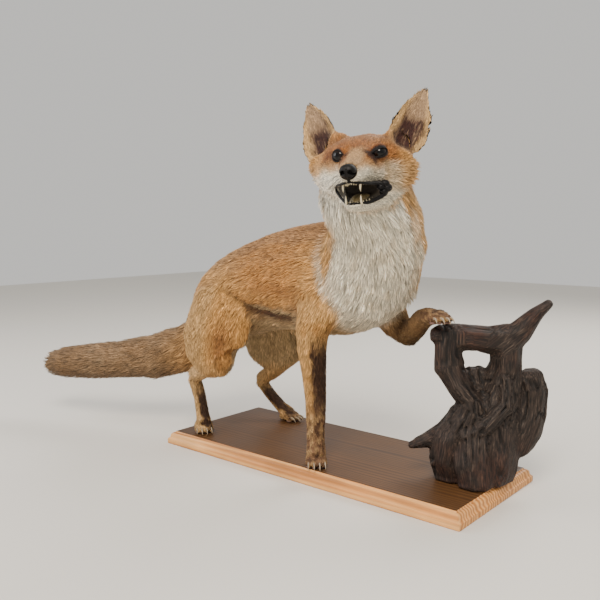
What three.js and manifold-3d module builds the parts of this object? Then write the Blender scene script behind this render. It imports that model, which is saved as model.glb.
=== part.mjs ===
// Mounted red fox: the animal stands on a moulded board with one forepaw on a driftwood root.
// Millimetres, +Z up. The origin is the middle of the board's underside, +X runs along the board
// from tail to root, and +Y is the fox's left. Every body solid reaches out to the tips of its coat.
import * as THREE from 'three';
import { mergeVertices } from 'three/addons/utils/BufferGeometryUtils.js';
import Module from 'manifold-3d';

// ---------------------------------------------------------------- driving sizes
const boardLength = 650;
const boardWidth = 267;
const boardHeight = 25;
const parting = 0.3;                 // gap left between neighbouring pieces
const joinTolerance = 0.22;          // how far the surface may move to lose slivers where limbs join
const cutTolerance = 0.14;           // and along a cut
const deckLevel = boardHeight + parting;

// The head has its own frame: forward along the muzzle, left, and up.
const headCentre = [154, -126, 548];
const headYaw = -70;                 // degrees from +X, so the fox looks to its right
const headPitch = -5;
const headRoll = 3;

const colour = {
  rust: 0xb5703a, buff: 0xc79b66, cream: 0xe2d6bf, grey: 0x9b8b78, stocking: 0x33241c,
  dark: 0x17120f, horn: 0xcfc3ae, tongue: 0xa58a5f, pine: 0xb9773f, driftwood: 0x5b4a3f,
};

const wasm = await Module();
wasm.setup();

const rad = THREE.MathUtils.degToRad;

function headAxes() {
  const yaw = rad(headYaw);
  const pitch = rad(headPitch);
  const roll = rad(headRoll);
  const forward = new THREE.Vector3(Math.cos(yaw) * Math.cos(pitch), Math.sin(yaw) * Math.cos(pitch),
    Math.sin(pitch));
  const level = new THREE.Vector3(-Math.sin(yaw), Math.cos(yaw), 0);
  const left = level.clone().applyAxisAngle(forward, roll);
  return { forward, left, up: new THREE.Vector3().crossVectors(forward, left) };
}
const head = headAxes();

// A point given as forward, left and up of the head's centre.
function headPoint(forward, left, up) {
  const point = new THREE.Vector3(...headCentre);
  point.addScaledVector(head.forward, forward).addScaledVector(head.left, left);
  return point.addScaledVector(head.up, up).toArray();
}

// ---------------------------------------------------------------- shape helpers
function solidOf(geometry) {
  const bare = geometry.clone();
  bare.deleteAttribute('normal');
  bare.deleteAttribute('uv');
  const merged = mergeVertices(bare, 1e-3);
  return new wasm.Manifold(new wasm.Mesh({
    numProp: 3,
    vertProperties: new Float32Array(merged.attributes.position.array),
    triVerts: new Uint32Array(merged.index.array),
  }));
}

function geometryOf(solid) {
  const { vertProperties, triVerts } = solid.getMesh();
  const geometry = new THREE.BufferGeometry();
  geometry.setAttribute('position', new THREE.BufferAttribute(new Float32Array(vertProperties), 3));
  geometry.setIndex(new THREE.BufferAttribute(new Uint32Array(triVerts), 1));
  geometry.computeVertexNormals();
  return geometry;
}

function largestBody(solid) {
  return solid.decompose().reduce((largest, body) => (body.volume() > largest.volume() ? body : largest));
}

function join(solids) {
  return solids.reduce((sum, solid) => sum.add(solid));
}

// Faces over a stack of closed rings, with a point at each end.
function skinOfRings(rings, startPole, endPole) {
  const sides = rings[0].length;
  const points = [startPole, ...rings.flat(), endPole];
  const last = points.length - 1;
  const faces = [];
  for (let ring = 0; ring < rings.length - 1; ring++) {
    for (let side = 0; side < sides; side++) {
      const next = (side + 1) % sides;
      const a = 1 + ring * sides + side;
      const b = 1 + ring * sides + next;
      faces.push(a, b, b + sides, a, b + sides, a + sides);
    }
  }
  for (let side = 0; side < sides; side++) {
    const next = (side + 1) % sides;
    faces.push(0, 1 + next, 1 + side);
    faces.push(last, last - sides + side, last - sides + next);
  }
  const geometry = new THREE.BufferGeometry();
  geometry.setAttribute('position', new THREE.Float32BufferAttribute(points.flatMap((p) => p.toArray()), 3));
  geometry.setIndex(faces);
  return geometry;
}

// A body swept through oval rings. A station is [x, y, z, half width, half height, egg]: the width lies
// along `across`, and a positive egg makes the upper half of the ring the wider one.
function sweep(stations, options = {}) {
  const { sides = 12, steps = 2, across = [0, 1, 0], grow = 0 } = options;
  const { ends = [0.5, 0.5], span = [0, 1] } = options;
  const spine = new THREE.CatmullRomCurve3(stations.map((s) => new THREE.Vector3(...s.slice(0, 3))),
    false, 'catmullrom', 0.5);
  const girth = new THREE.CatmullRomCurve3(stations.map((s) => new THREE.Vector3(s[3], s[4], s[5] ?? 0)),
    false, 'catmullrom', 0.5);
  const side = new THREE.Vector3(...across);

  function ring(t, shrink, shift) {
    const along = spine.getTangent(t);
    const wide = side.clone().addScaledVector(along, -side.dot(along)).normalize();
    const tall = new THREE.Vector3().crossVectors(along, wide);
    const size = girth.getPoint(t);
    const centre = spine.getPoint(t).addScaledVector(along, shift);
    return Array.from({ length: sides }, (_, k) => {
      const angle = (2 * Math.PI * k) / sides;
      const sine = Math.sin(angle);
      const width = (size.x + grow) * (1 + size.z * sine) * shrink * Math.cos(angle);
      const height = (size.y + grow) * shrink * sine;
      return centre.clone().addScaledVector(wide, width).addScaledVector(tall, height);
    });
  }

  const rows = Math.max(1, Math.round((stations.length - 1) * steps * (span[1] - span[0])));
  const capAngles = (sides > 8 ? [0.36, 0.7] : [0.55]).map((part) => part * Math.PI / 2);
  const depth = (t, end) => {
    const size = girth.getPoint(t);
    return (Math.min(size.x, size.y) + grow) * ends[end] + (ends[end] ? 0 : grow);
  };
  const startDepth = depth(span[0], 0);
  const endDepth = depth(span[1], 1);
  const rings = [];
  for (const angle of ends[0] ? [...capAngles].reverse() : []) {
    rings.push(ring(span[0], Math.cos(angle), -startDepth * Math.sin(angle)));
  }
  for (let row = 0; row <= rows; row++) {
    const flatEnd = (row === 0 && !ends[0]) ? -grow : (row === rows && !ends[1]) ? grow : 0;
    rings.push(ring(span[0] + (span[1] - span[0]) * row / rows, 1, flatEnd));
  }
  for (const angle of ends[1] ? capAngles : []) {
    rings.push(ring(span[1], Math.cos(angle), endDepth * Math.sin(angle)));
  }
  const pole = (t, shift) => spine.getPoint(t).addScaledVector(spine.getTangent(t), shift);
  return solidOf(skinOfRings(rings, pole(span[0], -startDepth), pole(span[1], endDepth)));
}

function ball(centre, radii, turn, detail = 12) {
  const geometry = new THREE.SphereGeometry(1, detail, Math.round(detail * 0.66));
  geometry.scale(...radii);
  if (turn) geometry.applyMatrix4(turn);
  geometry.translate(...centre);
  return solidOf(geometry);
}

function block(low, high) {
  const geometry = new THREE.BoxGeometry(high[0] - low[0], high[1] - low[1], high[2] - low[2]);
  geometry.translate(...low.map((value, k) => (value + high[k]) / 2));
  return solidOf(geometry);
}

const headTurn = new THREE.Matrix4().makeBasis(head.forward, head.left, head.up);

// ---------------------------------------------------------------- trunk and neck
const trunkStations = [
  [-322, -4, 250, 52, 56], [-290, -4, 272, 68, 76], [-240, -3, 296, 76, 88], [-180, 0, 318, 76, 92],
  [-110, 0, 334, 79, 98], [-40, -2, 340, 84, 104], [20, -6, 344, 86, 104], [75, -14, 350, 82, 92],
  [125, -24, 360, 66, 70],
];
const trunkLength = 450;
const trunkCuts = { rump: [0, 0.31], abdomen: [0.31, 0.62], chest: [0.62, 1] };

function trunk(name, grow) {
  const [from, to] = trunkCuts[name];
  const half = parting / 2 / trunkLength;
  const span = [from ? from + half : 0, to < 1 ? to - half : 1];
  const ends = [from ? 0 : 0.55, to < 1 ? 0 : 0.6];
  return sweep(trunkStations, { sides: 16, steps: 1.5, grow, span, ends });
}

const neckStations = [
  [72, -14, 346, 86, 92], [105, -34, 400, 87, 89], [121, -62, 450, 79, 80], [119, -93, 496, 74, 73],
  [123, -114, 528, 62, 62],
];
const acrossNeck = [0.35, 1, 0];
const neck = (grow) => sweep(neckStations,
  { sides: 14, steps: 1.5, grow, across: acrossNeck, ends: [0.3, 0.3] });

// ---------------------------------------------------------------- head
const skullSections = [            // forward, left, up, half width, half height, egg
  [-64, -8, -16, 44, 42, 0], [-44, -8, -18, 66, 48, -0.05], [-18, -8, -22, 80, 53, -0.08],
  [8, -8, -24, 83, 52, -0.1], [30, -6, -23, 66, 45, -0.12], [43, -3, -22, 49, 38, -0.12],
  [54, 0, -22, 34, 31, -0.1], [66, 0, -22, 28, 24, -0.05], [82, 0, -24, 24, 18.5, -0.1],
  [102, 0, -26, 20, 15, -0.1], [113, 0, -27, 16, 13, -0.1],
];
const toWorld = (sections) => sections.map(([f, l, u, w, h, egg]) => [...headPoint(f, l, u), w, h, egg]);
const acrossHead = head.left.toArray();

// The fur that swells at the roots of the ears: forward, left, up and three radii.
const earRoots = [[-18, 40, 14, 20, 26, 20], [-18, -58, 17, 20, 30, 21], [-8, -81, -13, 22, 18, 28]];

function skull(grow) {
  const swellings = earRoots.map(([f, l, u, ...radii]) => (
    ball(headPoint(f, l, u), radii.map((radius) => radius + grow), headTurn, 9)));
  const braincase = sweep(toWorld(skullSections), { sides: 13, steps: 1, grow, across: acrossHead });
  return join([braincase, ...swellings]);
}

const jawSections = [
  [10, -3, -66, 46, 24, 0], [32, -2, -66, 38, 20, 0], [54, 0, -68, 28, 16, 0], [74, 0, -71, 20, 12.5, 0],
  [90, 0, -72, 15.5, 9.5, 0], [99, 0, -71, 12, 7.5, 0],
];
const jaw = (grow) => sweep(toWorld(jawSections),
  { sides: 10, steps: 1, grow, across: acrossHead, ends: [0.4, 0.7] });

// The open mouth, between the muzzle and the lower jaw.
const mouthSections = [
  [42, 0, -54, 30, 7, 0], [60, 0, -53, 27, 9, 0], [80, 0, -53, 22, 10.5, 0], [106, 0, -53, 18, 12, 0],
];
const mouth = (grow) => sweep(toWorld(mouthSections),
  { sides: 8, steps: 1, grow, across: acrossHead, ends: [0.5, 0.8] });

// A tooth is a slightly bent cone from its root point to its tip.
function tooth(forward, left, rootUp, tipUp, radius) {
  const middle = (rootUp + tipUp) / 2;
  return sweep([
    [...headPoint(forward, left, rootUp), radius, radius],
    [...headPoint(forward + radius * 0.4, left, middle), radius * 0.7, radius * 0.7],
    [...headPoint(forward, left, tipUp), radius * 0.25, radius * 0.25],
  ], { sides: radius > 2.5 ? 6 : 4, steps: 1, across: acrossHead, ends: [0, 0] });
}

function upperTeeth() {
  const teeth = [];
  for (const side of [-1, 1]) {
    teeth.push(tooth(101, side * 12.5, -38, -51, 2.6));
    for (let k = 0; k < 2; k++) teeth.push(tooth(109 - k * 1.5, side * (2 + k * 4), -38, -43.5, 1.9));
    for (let k = 0; k < 3; k++) teeth.push(tooth(89 - k * 10, side * (15 + k * 2), -38, -46, 2.5));
  }
  return teeth;
}

function lowerTeeth() {
  const teeth = [];
  for (const side of [-1, 1]) {
    teeth.push(tooth(97, side * 10.5, -67, -54, 2.4));
    for (let k = 0; k < 2; k++) teeth.push(tooth(102 - k, side * (1.8 + k * 3.6), -67, -61, 1.6));
    for (let k = 0; k < 3; k++) teeth.push(tooth(84 - k * 10, side * (12.5 + k * 2.6), -66, -57, 2.3));
  }
  return teeth;
}

const eyeRadius = 12;
const eyeAt = { left: headPoint(45.5, 27, -1.5), right: headPoint(45.5, -29.5, -1.5) };
const eye = (side, grow) => ball(eyeAt[side], Array(3).fill(eyeRadius + grow), headTurn);

const noseAt = headPoint(117, 0, -25);
const nose = (grow) => ball(noseAt, [12 + grow, 11.5 + grow, 10 + grow], headTurn);

const tongueSections = [[44, 0, -60, 9, 5, 0], [66, 0, -61, 8.5, 4.5, 0], [84, 0, -62, 6.5, 3.5, 0]];
const tongue = (grow) => sweep(toWorld(tongueSections), { sides: 8, grow, across: acrossHead });

// ---------------------------------------------------------------- ears
// A cupped shell. `axis` runs from the middle of the base to the tip and `open` faces out of the cup.
const earShape = [                  // height, half width, cup depth, as parts of the ear's own sizes
  [0, 0.86, 0.55], [0.18, 0.98, 0.62], [0.36, 1, 0.6], [0.54, 0.88, 0.5], [0.7, 0.68, 0.38],
  [0.84, 0.46, 0.24], [0.94, 0.28, 0.12], [1, 0.14, 0.05],
];
const ears = {
  left: { base: [-20, 49, 4], tip: [-50, 82, 88], open: [0.93, 0.36, 0.1], width: 32, cup: 26 },
  right: { base: [-20, -79, 4], tip: [-50, -107, 85], open: [0.93, -0.36, 0.1], width: 36, cup: 26 },
};
const earThickness = 4;

function ear(side, grow = 0) {
  const { base, tip, open, width, cup } = ears[side];
  const foot = new THREE.Vector3(...headPoint(...base));
  const axis = new THREE.Vector3(...headPoint(...tip)).sub(foot);
  const facing = new THREE.Vector3().addScaledVector(head.forward, open[0])
    .addScaledVector(head.left, open[1]).addScaledVector(head.up, open[2]);
  facing.addScaledVector(axis, -facing.dot(axis) / axis.lengthSq()).normalize();
  const wide = new THREE.Vector3().crossVectors(axis, facing).normalize();
  const across = 6;
  const rings = earShape.map(([height, halfWidth, depth], row) => {
    const centre = foot.clone().addScaledVector(axis, height);
    const thickness = (earThickness * (1 - 0.45 * height)) / 2 + grow;
    const edge = (k, layer) => {
      const spread = -1 + (2 * k) / across;
      const taper = Math.abs(spread) === 1 ? 0.35 : 1;
      const back = -cup * depth * (1 - spread * spread) + layer * thickness * taper;
      return centre.clone().addScaledVector(wide, spread * (width * halfWidth + grow))
        .addScaledVector(facing, back);
    };
    const inner = Array.from({ length: across + 1 }, (_, k) => edge(k, 1));
    const outer = Array.from({ length: across + 1 }, (_, k) => edge(across - k, -1));
    if (row === 0) inner.concat(outer).forEach((p) => p.addScaledVector(axis, -grow / axis.length()));
    return inner.concat(outer);
  });
  const middle = (ring) => ring.reduce((sum, p) => sum.add(p), new THREE.Vector3()).divideScalar(ring.length);
  const tipPole = middle(rings.at(-1)).addScaledVector(axis, (1.5 + grow) / axis.length());
  return solidOf(skinOfRings(rings, middle(rings[0]), tipPole));
}

// ---------------------------------------------------------------- legs
const legs = {
  fore_right: {
    upper_arm: [
      [28, -52, 335, 40, 66], [18, -70, 292, 33, 48], [10, -82, 256, 28, 34], [12, -86, 228, 25, 29],
    ],
    forearm: [
      [12, -86, 228, 25, 29], [17, -87, 186, 20.5, 24], [22, -88, 138, 18, 20], [26, -92, 98, 17.5, 18],
    ],
    paw: [[25, -92, 97, 17, 17], [27, -94, 66, 16, 17], [32, -99, 46, 19, 18]],
  },
  fore_left: {
    upper_arm: [[58, 26, 335, 38, 62], [78, 42, 292, 30, 42], [98, 52, 256, 24, 28]],
    forearm: [[99, 54, 256, 24, 26], [129, 40, 249, 22, 24], [160, 10, 264, 19, 20], [188, -14, 286, 18, 18]],
    paw: [[186, -12, 284, 18, 18], [206, -26, 293, 19, 15], [226, -40, 294, 20, 12]],
  },
  hind_right: {
    thigh: [
      [-246, -40, 304, 44, 80], [-240, -62, 262, 44, 86], [-240, -78, 222, 40, 87], [-238, -85, 188, 34, 76],
      [-232, -88, 166, 28, 54],
    ],
    shank: [
      [-184, -92, 186, 28, 28], [-215, -92, 172, 27, 27], [-260, -88, 156, 21, 21], [-298, -82, 136, 14, 18],
    ],
    paw: [
      [-300, -81, 131, 14, 16], [-286, -80, 92, 12.5, 14], [-276, -82, 58, 14, 14], [-268, -86, 44, 17, 15],
    ],
  },
  hind_left: {
    thigh: [
      [-246, 32, 304, 42, 80], [-238, 54, 262, 41, 84], [-238, 70, 222, 37, 85], [-242, 77, 184, 32, 77],
      [-258, 80, 152, 26, 52],
    ],
    shank: [
      [-152, 80, 200, 26, 32], [-190, 80, 166, 22, 26], [-234, 80, 126, 16, 19], [-266, 80, 104, 12, 15],
    ],
    paw: [[-267, 80, 102, 12, 15], [-240, 80, 76, 12, 13], [-210, 82, 52, 13, 13], [-190, 84, 42, 16, 13]],
  },
};

// Where each paw points, how far its toes reach, and the level of its sole.
const feet = {
  fore_right: { heel: [30, -97], yaw: -48, reach: 30, sole: deckLevel, tilt: 0 },
  fore_left: { heel: [226, -40], yaw: -34, reach: 30, sole: 284, tilt: 4 },
  hind_right: { heel: [-272, -84], yaw: -38, reach: 28, sole: deckLevel, tilt: 0 },
  hind_left: { heel: [-194, 84], yaw: 2, reach: 28, sole: deckLevel, tilt: 0 },
};

// Four toes fanned over the front of a pad, each with its claw.
function toes(name, grow) {
  const { heel, yaw, reach, sole, tilt } = feet[name];
  const forward = new THREE.Vector3(Math.cos(rad(yaw)), Math.sin(rad(yaw)), Math.tan(rad(tilt)));
  const left = new THREE.Vector3(-forward.y, forward.x, 0).normalize();
  const start = new THREE.Vector3(...heel, sole);
  const at = (f, l, u) => start.clone().addScaledVector(forward, f).addScaledVector(left, l)
    .add(new THREE.Vector3(0, 0, u)).toArray();
  const pieces = [];
  for (const [lane, spread] of [[-1.5, 0.82], [-0.5, 1], [0.5, 1], [1.5, 0.82]]) {
    const end = reach * spread;
    pieces.push(sweep([
      [...at(-8, lane * 7, 13), 7, 11], [...at(end * 0.4, lane * 8.6, 11), 6.4, 10],
      [...at(end * 0.8, lane * 9.4, 7.6), 6, 7.2],
    ], { sides: 5, steps: 1, grow, across: left.toArray(), ends: [0, 0.9] }));
    pieces.push(sweep([
      [...at(end * 0.9, lane * 9.4, 9.5), 2.4, 2.8], [...at(end + 6, lane * 9.6, 7.5), 1.7, 2.1],
      [...at(end + 11, lane * 9.8, 3), 0.8, 1],
    ], { sides: 4, steps: 1, grow, across: left.toArray(), ends: [0, 0] }));
  }
  pieces.push(sweep([[...at(-14, 0, 9), 12, 8], [...at(4, 0, 8), 17, 7.5]],
    { sides: 6, steps: 1, grow, across: left.toArray() }));
  return join(pieces);
}

function limb(leg, piece, grow) {
  const across = leg === 'fore_left' && piece !== 'upper_arm' ? [0.5, 0.85, 0] : [0, 1, 0];
  const sides = piece === 'paw' ? 7 : 9;
  const body = sweep(legs[leg][piece], { sides, steps: 1, grow, across, ends: [0.45, 0.45] });
  return piece === 'paw' ? body.add(toes(leg, grow)) : body;
}

// ---------------------------------------------------------------- tail
const tailStations = [
  [-318, -4, 222, 40, 48], [-366, -24, 181, 45, 55], [-428, -60, 158, 45, 51], [-500, -95, 146, 42, 43],
  [-570, -125, 137, 41, 41], [-632, -145, 130, 38, 38], [-674, -156, 124, 30, 32],
];
const tailLength = 410;
const tailCuts = { tail_root: [0, 0.34], tail_middle: [0.34, 0.68], tail_tip: [0.68, 1] };

function tail(name, grow) {
  const [from, to] = tailCuts[name];
  const half = parting / 2 / tailLength;
  const span = [from ? from + half : 0, to < 1 ? to - half : 1];
  const ends = [from ? 0 : 0.3, to < 1 ? 0 : 0.7];
  return sweep(tailStations, { sides: 12, steps: 1, grow, span, ends });
}

// ---------------------------------------------------------------- base board
const boardProfile = [               // inset from the outer edge, height
  [1.5, 0], [0, 1.5], [0, 9], [2, 11], [4, 14], [4.5, 17], [6, 20], [9, 22], [11, 22.3], [13.5, boardHeight],
];
function baseBoard() {
  const rings = boardProfile.map(([inset, height]) => {
    const x = boardLength / 2 - inset;
    const y = boardWidth / 2 - inset;
    return [[x, -y], [x, y], [-x, y], [-x, -y]].map(([px, py]) => new THREE.Vector3(px, py, height));
  });
  return solidOf(skinOfRings(rings, new THREE.Vector3(0, 0, 0), new THREE.Vector3(0, 0, boardHeight)));
}

// ---------------------------------------------------------------- driftwood root
// The root has its own frame: along its face, away from the viewer's side, and up.
const rootMiddle = [275, 15];
const rootYaw = 40;
function rootPoint([along, away, up]) {
  const turn = rad(rootYaw);
  return [rootMiddle[0] + along * Math.cos(turn) - away * Math.sin(turn),
    rootMiddle[1] + along * Math.sin(turn) + away * Math.cos(turn), up];
}
const rootLimbs = [                  // each limb: [along, away, up, half depth, half thickness]
  [
    [-70, 0, 265, 18, 17], [-44, 0, 262, 25, 24], [-14, 0, 260, 27, 23], [14, 0, 257, 27, 24],
    [46, 2, 258, 25, 27],
  ],
  [[36, 0, 246, 26, 28], [66, 2, 270, 22, 22], [92, 5, 298, 16, 13], [114, 8, 315, 10, 8]],
  [
    [-50, 0, 262, 24, 24], [-50, 0, 236, 25, 23], [-47, 0, 212, 27, 27], [-34, -2, 184, 27, 21],
    [-15, -4, 162, 30, 21], [-10, -4, 126, 34, 34],
  ],
  [
    [44, 2, 250, 27, 28], [44, 4, 214, 30, 27], [36, 8, 176, 34, 36], [26, 8, 130, 44, 50],
    [14, 6, 84, 52, 62], [6, 0, 44, 50, 62], [4, -2, 20, 44, 52],
  ],
  [[-6, 12, 204, 14, 22], [0, 10, 176, 22, 28], [2, 6, 140, 30, 34]],
  [
    [86, 16, 196, 18, 24], [94, 20, 168, 24, 30], [92, 20, 134, 26, 30], [84, 18, 104, 28, 30],
    [70, 12, 70, 28, 20],
  ],
  [[-20, 0, 132, 34, 26], [-34, 4, 96, 38, 38], [-40, 6, 62, 36, 38], [-34, 4, 30, 32, 34]],
  [[-44, 14, 100, 22, 20], [-78, 20, 84, 15, 14], [-104, 24, 74, 9, 7]],
  [[-6, -14, 96, 34, 34], [-8, -26, 58, 34, 36], [-8, -34, 26, 32, 30]],
  [[40, -22, 196, 9, 12], [38, -32, 156, 12, 13], [6, -36, 122, 12, 13], [-24, -28, 104, 13, 14]],
];
const rootHoles = [
  [[-7, -60, 226, 10, 17], [-6, 0, 224, 10, 17], [-3, 60, 222, 11, 17]],
  [[10, -44, 206, 14, 12], [15, -34, 174, 13, 13], [4, -36, 144, 10, 12]],
];

function driftwood() {
  const placed = ([along, away, up, depth, thick]) => [...rootPoint([along, away, up]), depth, thick];
  const turned = (limbs, options) => limbs.map((stations) => sweep(stations.map(placed), options));
  const turn = rad(rootYaw);
  const deep = [-Math.sin(turn), Math.cos(turn), 0];
  const body = join(turned(rootLimbs, { sides: 7, steps: 1, across: deep, ends: [0.6, 0.6] }));
  const holes = join(turned(rootHoles, { sides: 6, steps: 1, across: [0.7, 0.6, 0.01], ends: [0.6, 0.6] }));
  const under = block([0, -300, -100], [700, 300, deckLevel]);
  return body.subtract(holes).subtract(under);
}

// ---------------------------------------------------------------- parting the pieces
// Each piece gives its solid, grown by `grow`; it is cut back by the pieces that it meets.
const pieces = {
  chest: { shape: (grow) => trunk('chest', grow), tint: 'rust' },
  abdomen: { shape: (grow) => trunk('abdomen', grow), tint: 'rust' },
  rump: { shape: (grow) => trunk('rump', grow), tint: 'rust' },
  neck: { shape: neck, tint: 'cream', cutBy: ['chest'] },
  nose: { shape: nose, tint: 'dark', cutBy: [] },
  eye_left: { shape: (grow) => eye('left', grow), tint: 'dark' },
  eye_right: { shape: (grow) => eye('right', grow), tint: 'dark' },
  tongue: { shape: tongue, tint: 'tongue' },
  head: {
    shape: skull, tint: 'rust', cutBy: ['neck', 'nose', 'eye_left', 'eye_right', 'tongue'], open: mouth,
    add: upperTeeth,
  },
  lower_jaw: { shape: jaw, tint: 'cream', cutBy: ['neck', 'head', 'tongue'], open: mouth, add: lowerTeeth },
  ear_left: { shape: (grow) => ear('left', grow), tint: 'rust', cutBy: ['head', 'neck'] },
  ear_right: { shape: (grow) => ear('right', grow), tint: 'rust', cutBy: ['head', 'neck'] },
};
for (const [leg, segments] of Object.entries(legs)) {
  const [top, middle, foot] = Object.keys(segments);
  const trunkSides = leg.startsWith('fore') ? ['chest', 'abdomen', 'neck'] : ['rump', 'abdomen'];
  const entry = (piece, tint, cutBy) => ({ shape: (grow) => limb(leg, piece, grow), tint, cutBy });
  pieces[`${leg}_${top}`] = entry(top, 'rust', trunkSides);
  pieces[`${leg}_${middle}`] = entry(middle, 'buff', [`${leg}_${top}`, ...trunkSides]);
  pieces[`${leg}_${foot}`] = entry(foot, 'stocking', [`${leg}_${middle}`, `${leg}_${top}`]);
}
for (const name of Object.keys(tailCuts)) {
  pieces[name] = { shape: (grow) => tail(name, grow), tint: 'grey', cutBy: ['rump', 'hind_right_thigh'] };
}
pieces.base_board = { shape: baseBoard, tint: 'pine' };
pieces.driftwood_root = {
  shape: driftwood, tint: 'driftwood', cutBy: ['fore_left_paw', 'fore_left_forearm'], easing: 0.8,
};

const underDeck = block([-1000, -400, -400], [1000, 400, deckLevel]);

function build(name) {
  const { shape, cutBy = [], open, add, easing = joinTolerance } = pieces[name];
  let solid = shape(0).simplify(easing);
  for (const neighbour of cutBy) solid = solid.subtract(pieces[neighbour].shape(parting));
  if (open) solid = solid.subtract(open(0));
  if (add) solid = join([solid, ...add()]);
  if (name.endsWith('_paw')) solid = solid.subtract(underDeck);
  return largestBody(solidOf(geometryOf(largestBody(solid.simplify(cutTolerance)))));
}

const fox = new THREE.Group();
for (const [name, { tint }] of Object.entries(pieces)) {
  const material = new THREE.MeshStandardMaterial({ color: colour[tint], roughness: 0.8, metalness: 0 });
  const mesh = new THREE.Mesh(geometryOf(build(name)), material);
  mesh.name = name;
  fox.add(mesh);
}

export default fox;
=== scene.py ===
import math

import bmesh
import bpy
import numpy as np
from mathutils import Matrix, Vector, kdtree
from mathutils.bvhtree import BVHTree


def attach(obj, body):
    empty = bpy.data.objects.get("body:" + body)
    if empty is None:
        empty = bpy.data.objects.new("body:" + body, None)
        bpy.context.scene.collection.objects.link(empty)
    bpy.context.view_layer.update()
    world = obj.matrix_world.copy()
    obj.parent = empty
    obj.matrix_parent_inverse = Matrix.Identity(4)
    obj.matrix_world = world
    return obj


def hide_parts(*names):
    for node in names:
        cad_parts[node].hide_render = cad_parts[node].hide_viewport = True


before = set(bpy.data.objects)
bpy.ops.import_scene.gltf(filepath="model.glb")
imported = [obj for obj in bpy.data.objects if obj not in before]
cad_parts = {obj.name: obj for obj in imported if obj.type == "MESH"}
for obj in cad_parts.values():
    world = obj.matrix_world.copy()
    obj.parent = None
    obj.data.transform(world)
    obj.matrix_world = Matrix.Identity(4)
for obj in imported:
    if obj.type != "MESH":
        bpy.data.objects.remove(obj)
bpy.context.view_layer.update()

MM = 0.001
dice = np.random.default_rng(7)


# ---------------------------------------------------------------- the head's own frame
HEAD_CENTRE = Vector((154, -126, 548)) * MM
HEAD_YAW, HEAD_PITCH, HEAD_ROLL = (math.radians(angle) for angle in (-70, -5, 3))
head_forward = Vector((math.cos(HEAD_YAW) * math.cos(HEAD_PITCH),
                       math.sin(HEAD_YAW) * math.cos(HEAD_PITCH), math.sin(HEAD_PITCH)))
head_left = Matrix.Rotation(HEAD_ROLL, 3, head_forward) @ Vector((-math.sin(HEAD_YAW), math.cos(HEAD_YAW), 0))
head_up = head_forward.cross(head_left)
head_axes = np.array([head_forward, head_left, head_up])


def on_head(forward, left, up):
    """A point given in millimetres forward, left and up of the head's centre."""
    return HEAD_CENTRE + (head_forward * forward + head_left * left + head_up * up) * MM


def head_station(forward, left, up, thick):
    return (*(on_head(forward, left, up) / MM), thick)


def head_coordinates(points):
    return (points - np.array(HEAD_CENTRE)) @ head_axes.T / MM


# ---------------------------------------------------------------- bones that the coat lies along
# Each station is x, y, z and the body's half thickness there, in the order in which the hair lies.
BONES = {
    "trunk": [(125, -24, 360, 68), (75, -14, 350, 87), (20, -6, 344, 95), (-40, -2, 340, 94),
              (-110, 0, 334, 88), (-180, 0, 318, 84), (-240, -3, 296, 82), (-290, -4, 272, 72),
              (-322, -4, 250, 54)],
    "neck": [(123, -114, 528, 62), (119, -93, 496, 73), (121, -62, 450, 79), (105, -34, 400, 88),
             (72, -14, 346, 89)],
    "fore_right": [(28, -52, 335, 53), (18, -70, 292, 40), (10, -82, 256, 31), (12, -86, 228, 27),
                   (17, -87, 186, 22), (22, -88, 138, 19), (26, -92, 98, 18), (27, -94, 66, 17),
                   (32, -99, 46, 19), (58, -128, 32, 20)],
    "fore_left": [(58, 26, 335, 50), (78, 42, 292, 36), (98, 52, 256, 26), (129, 40, 249, 23),
                  (160, 10, 264, 20), (188, -14, 286, 18), (206, -26, 293, 17), (226, -40, 294, 17),
                  (254, -59, 290, 18)],
    "hind_right": [(-246, -40, 304, 62), (-240, -62, 262, 66), (-240, -78, 222, 64), (-238, -85, 188, 50),
                   (-236, -90, 168, 34), (-262, -88, 154, 22), (-298, -82, 134, 16), (-286, -80, 92, 13),
                   (-276, -82, 58, 14), (-268, -86, 44, 16), (-246, -104, 32, 20)],
    "hind_left": [(-246, 32, 304, 60), (-238, 54, 262, 62), (-238, 70, 222, 60), (-242, 77, 184, 48),
                  (-236, 80, 148, 30), (-248, 80, 120, 17), (-266, 80, 104, 13), (-240, 80, 76, 12),
                  (-210, 82, 52, 13), (-190, 84, 42, 15), (-166, 85, 32, 20)],
    "tail": [(-318, -4, 222, 44), (-366, -24, 181, 50), (-428, -60, 158, 48), (-500, -95, 146, 42),
             (-570, -125, 137, 41), (-632, -145, 130, 38), (-674, -156, 124, 31), (-700, -165, 120, 20)],
    "ear_left": [head_station(-20, 49, 4, 30), head_station(-50, 82, 88, 20)],
    "ear_right": [head_station(-20, -79, 4, 30), head_station(-50, -107, 85, 20)],
    "head": [head_station(117, 0, -25, 16), head_station(54, 0, -24, 36), head_station(0, -8, -24, 66),
             head_station(-64, -8, -16, 42)],
}
PARTS = list(BONES)
NODES_OF = {
    "trunk": ["chest", "abdomen", "rump"],
    "neck": ["neck"],
    "tail": ["tail_root", "tail_middle", "tail_tip"],
    "ear_left": ["ear_left"],
    "ear_right": ["ear_right"],
    "head": ["head", "lower_jaw"],
}
for leg in ("fore_right", "fore_left"):
    NODES_OF[leg] = [leg + "_upper_arm", leg + "_forearm", leg + "_paw"]
for leg in ("hind_right", "hind_left"):
    NODES_OF[leg] = [leg + "_thigh", leg + "_shank", leg + "_paw"]
FLESH = [node for part in PARTS for node in NODES_OF[part]]


def unit(vectors):
    return vectors / np.maximum(np.linalg.norm(vectors, axis=-1, keepdims=True), 1e-9)


def smooth(low, high, values):
    """0 below low, 1 above high, and an even S between them."""
    part = np.clip((values - low) / (high - low), 0, 1)
    return part * part * (3 - 2 * part)


def blend(first, second, share):
    return first + (second - first) * share[..., None]


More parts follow.
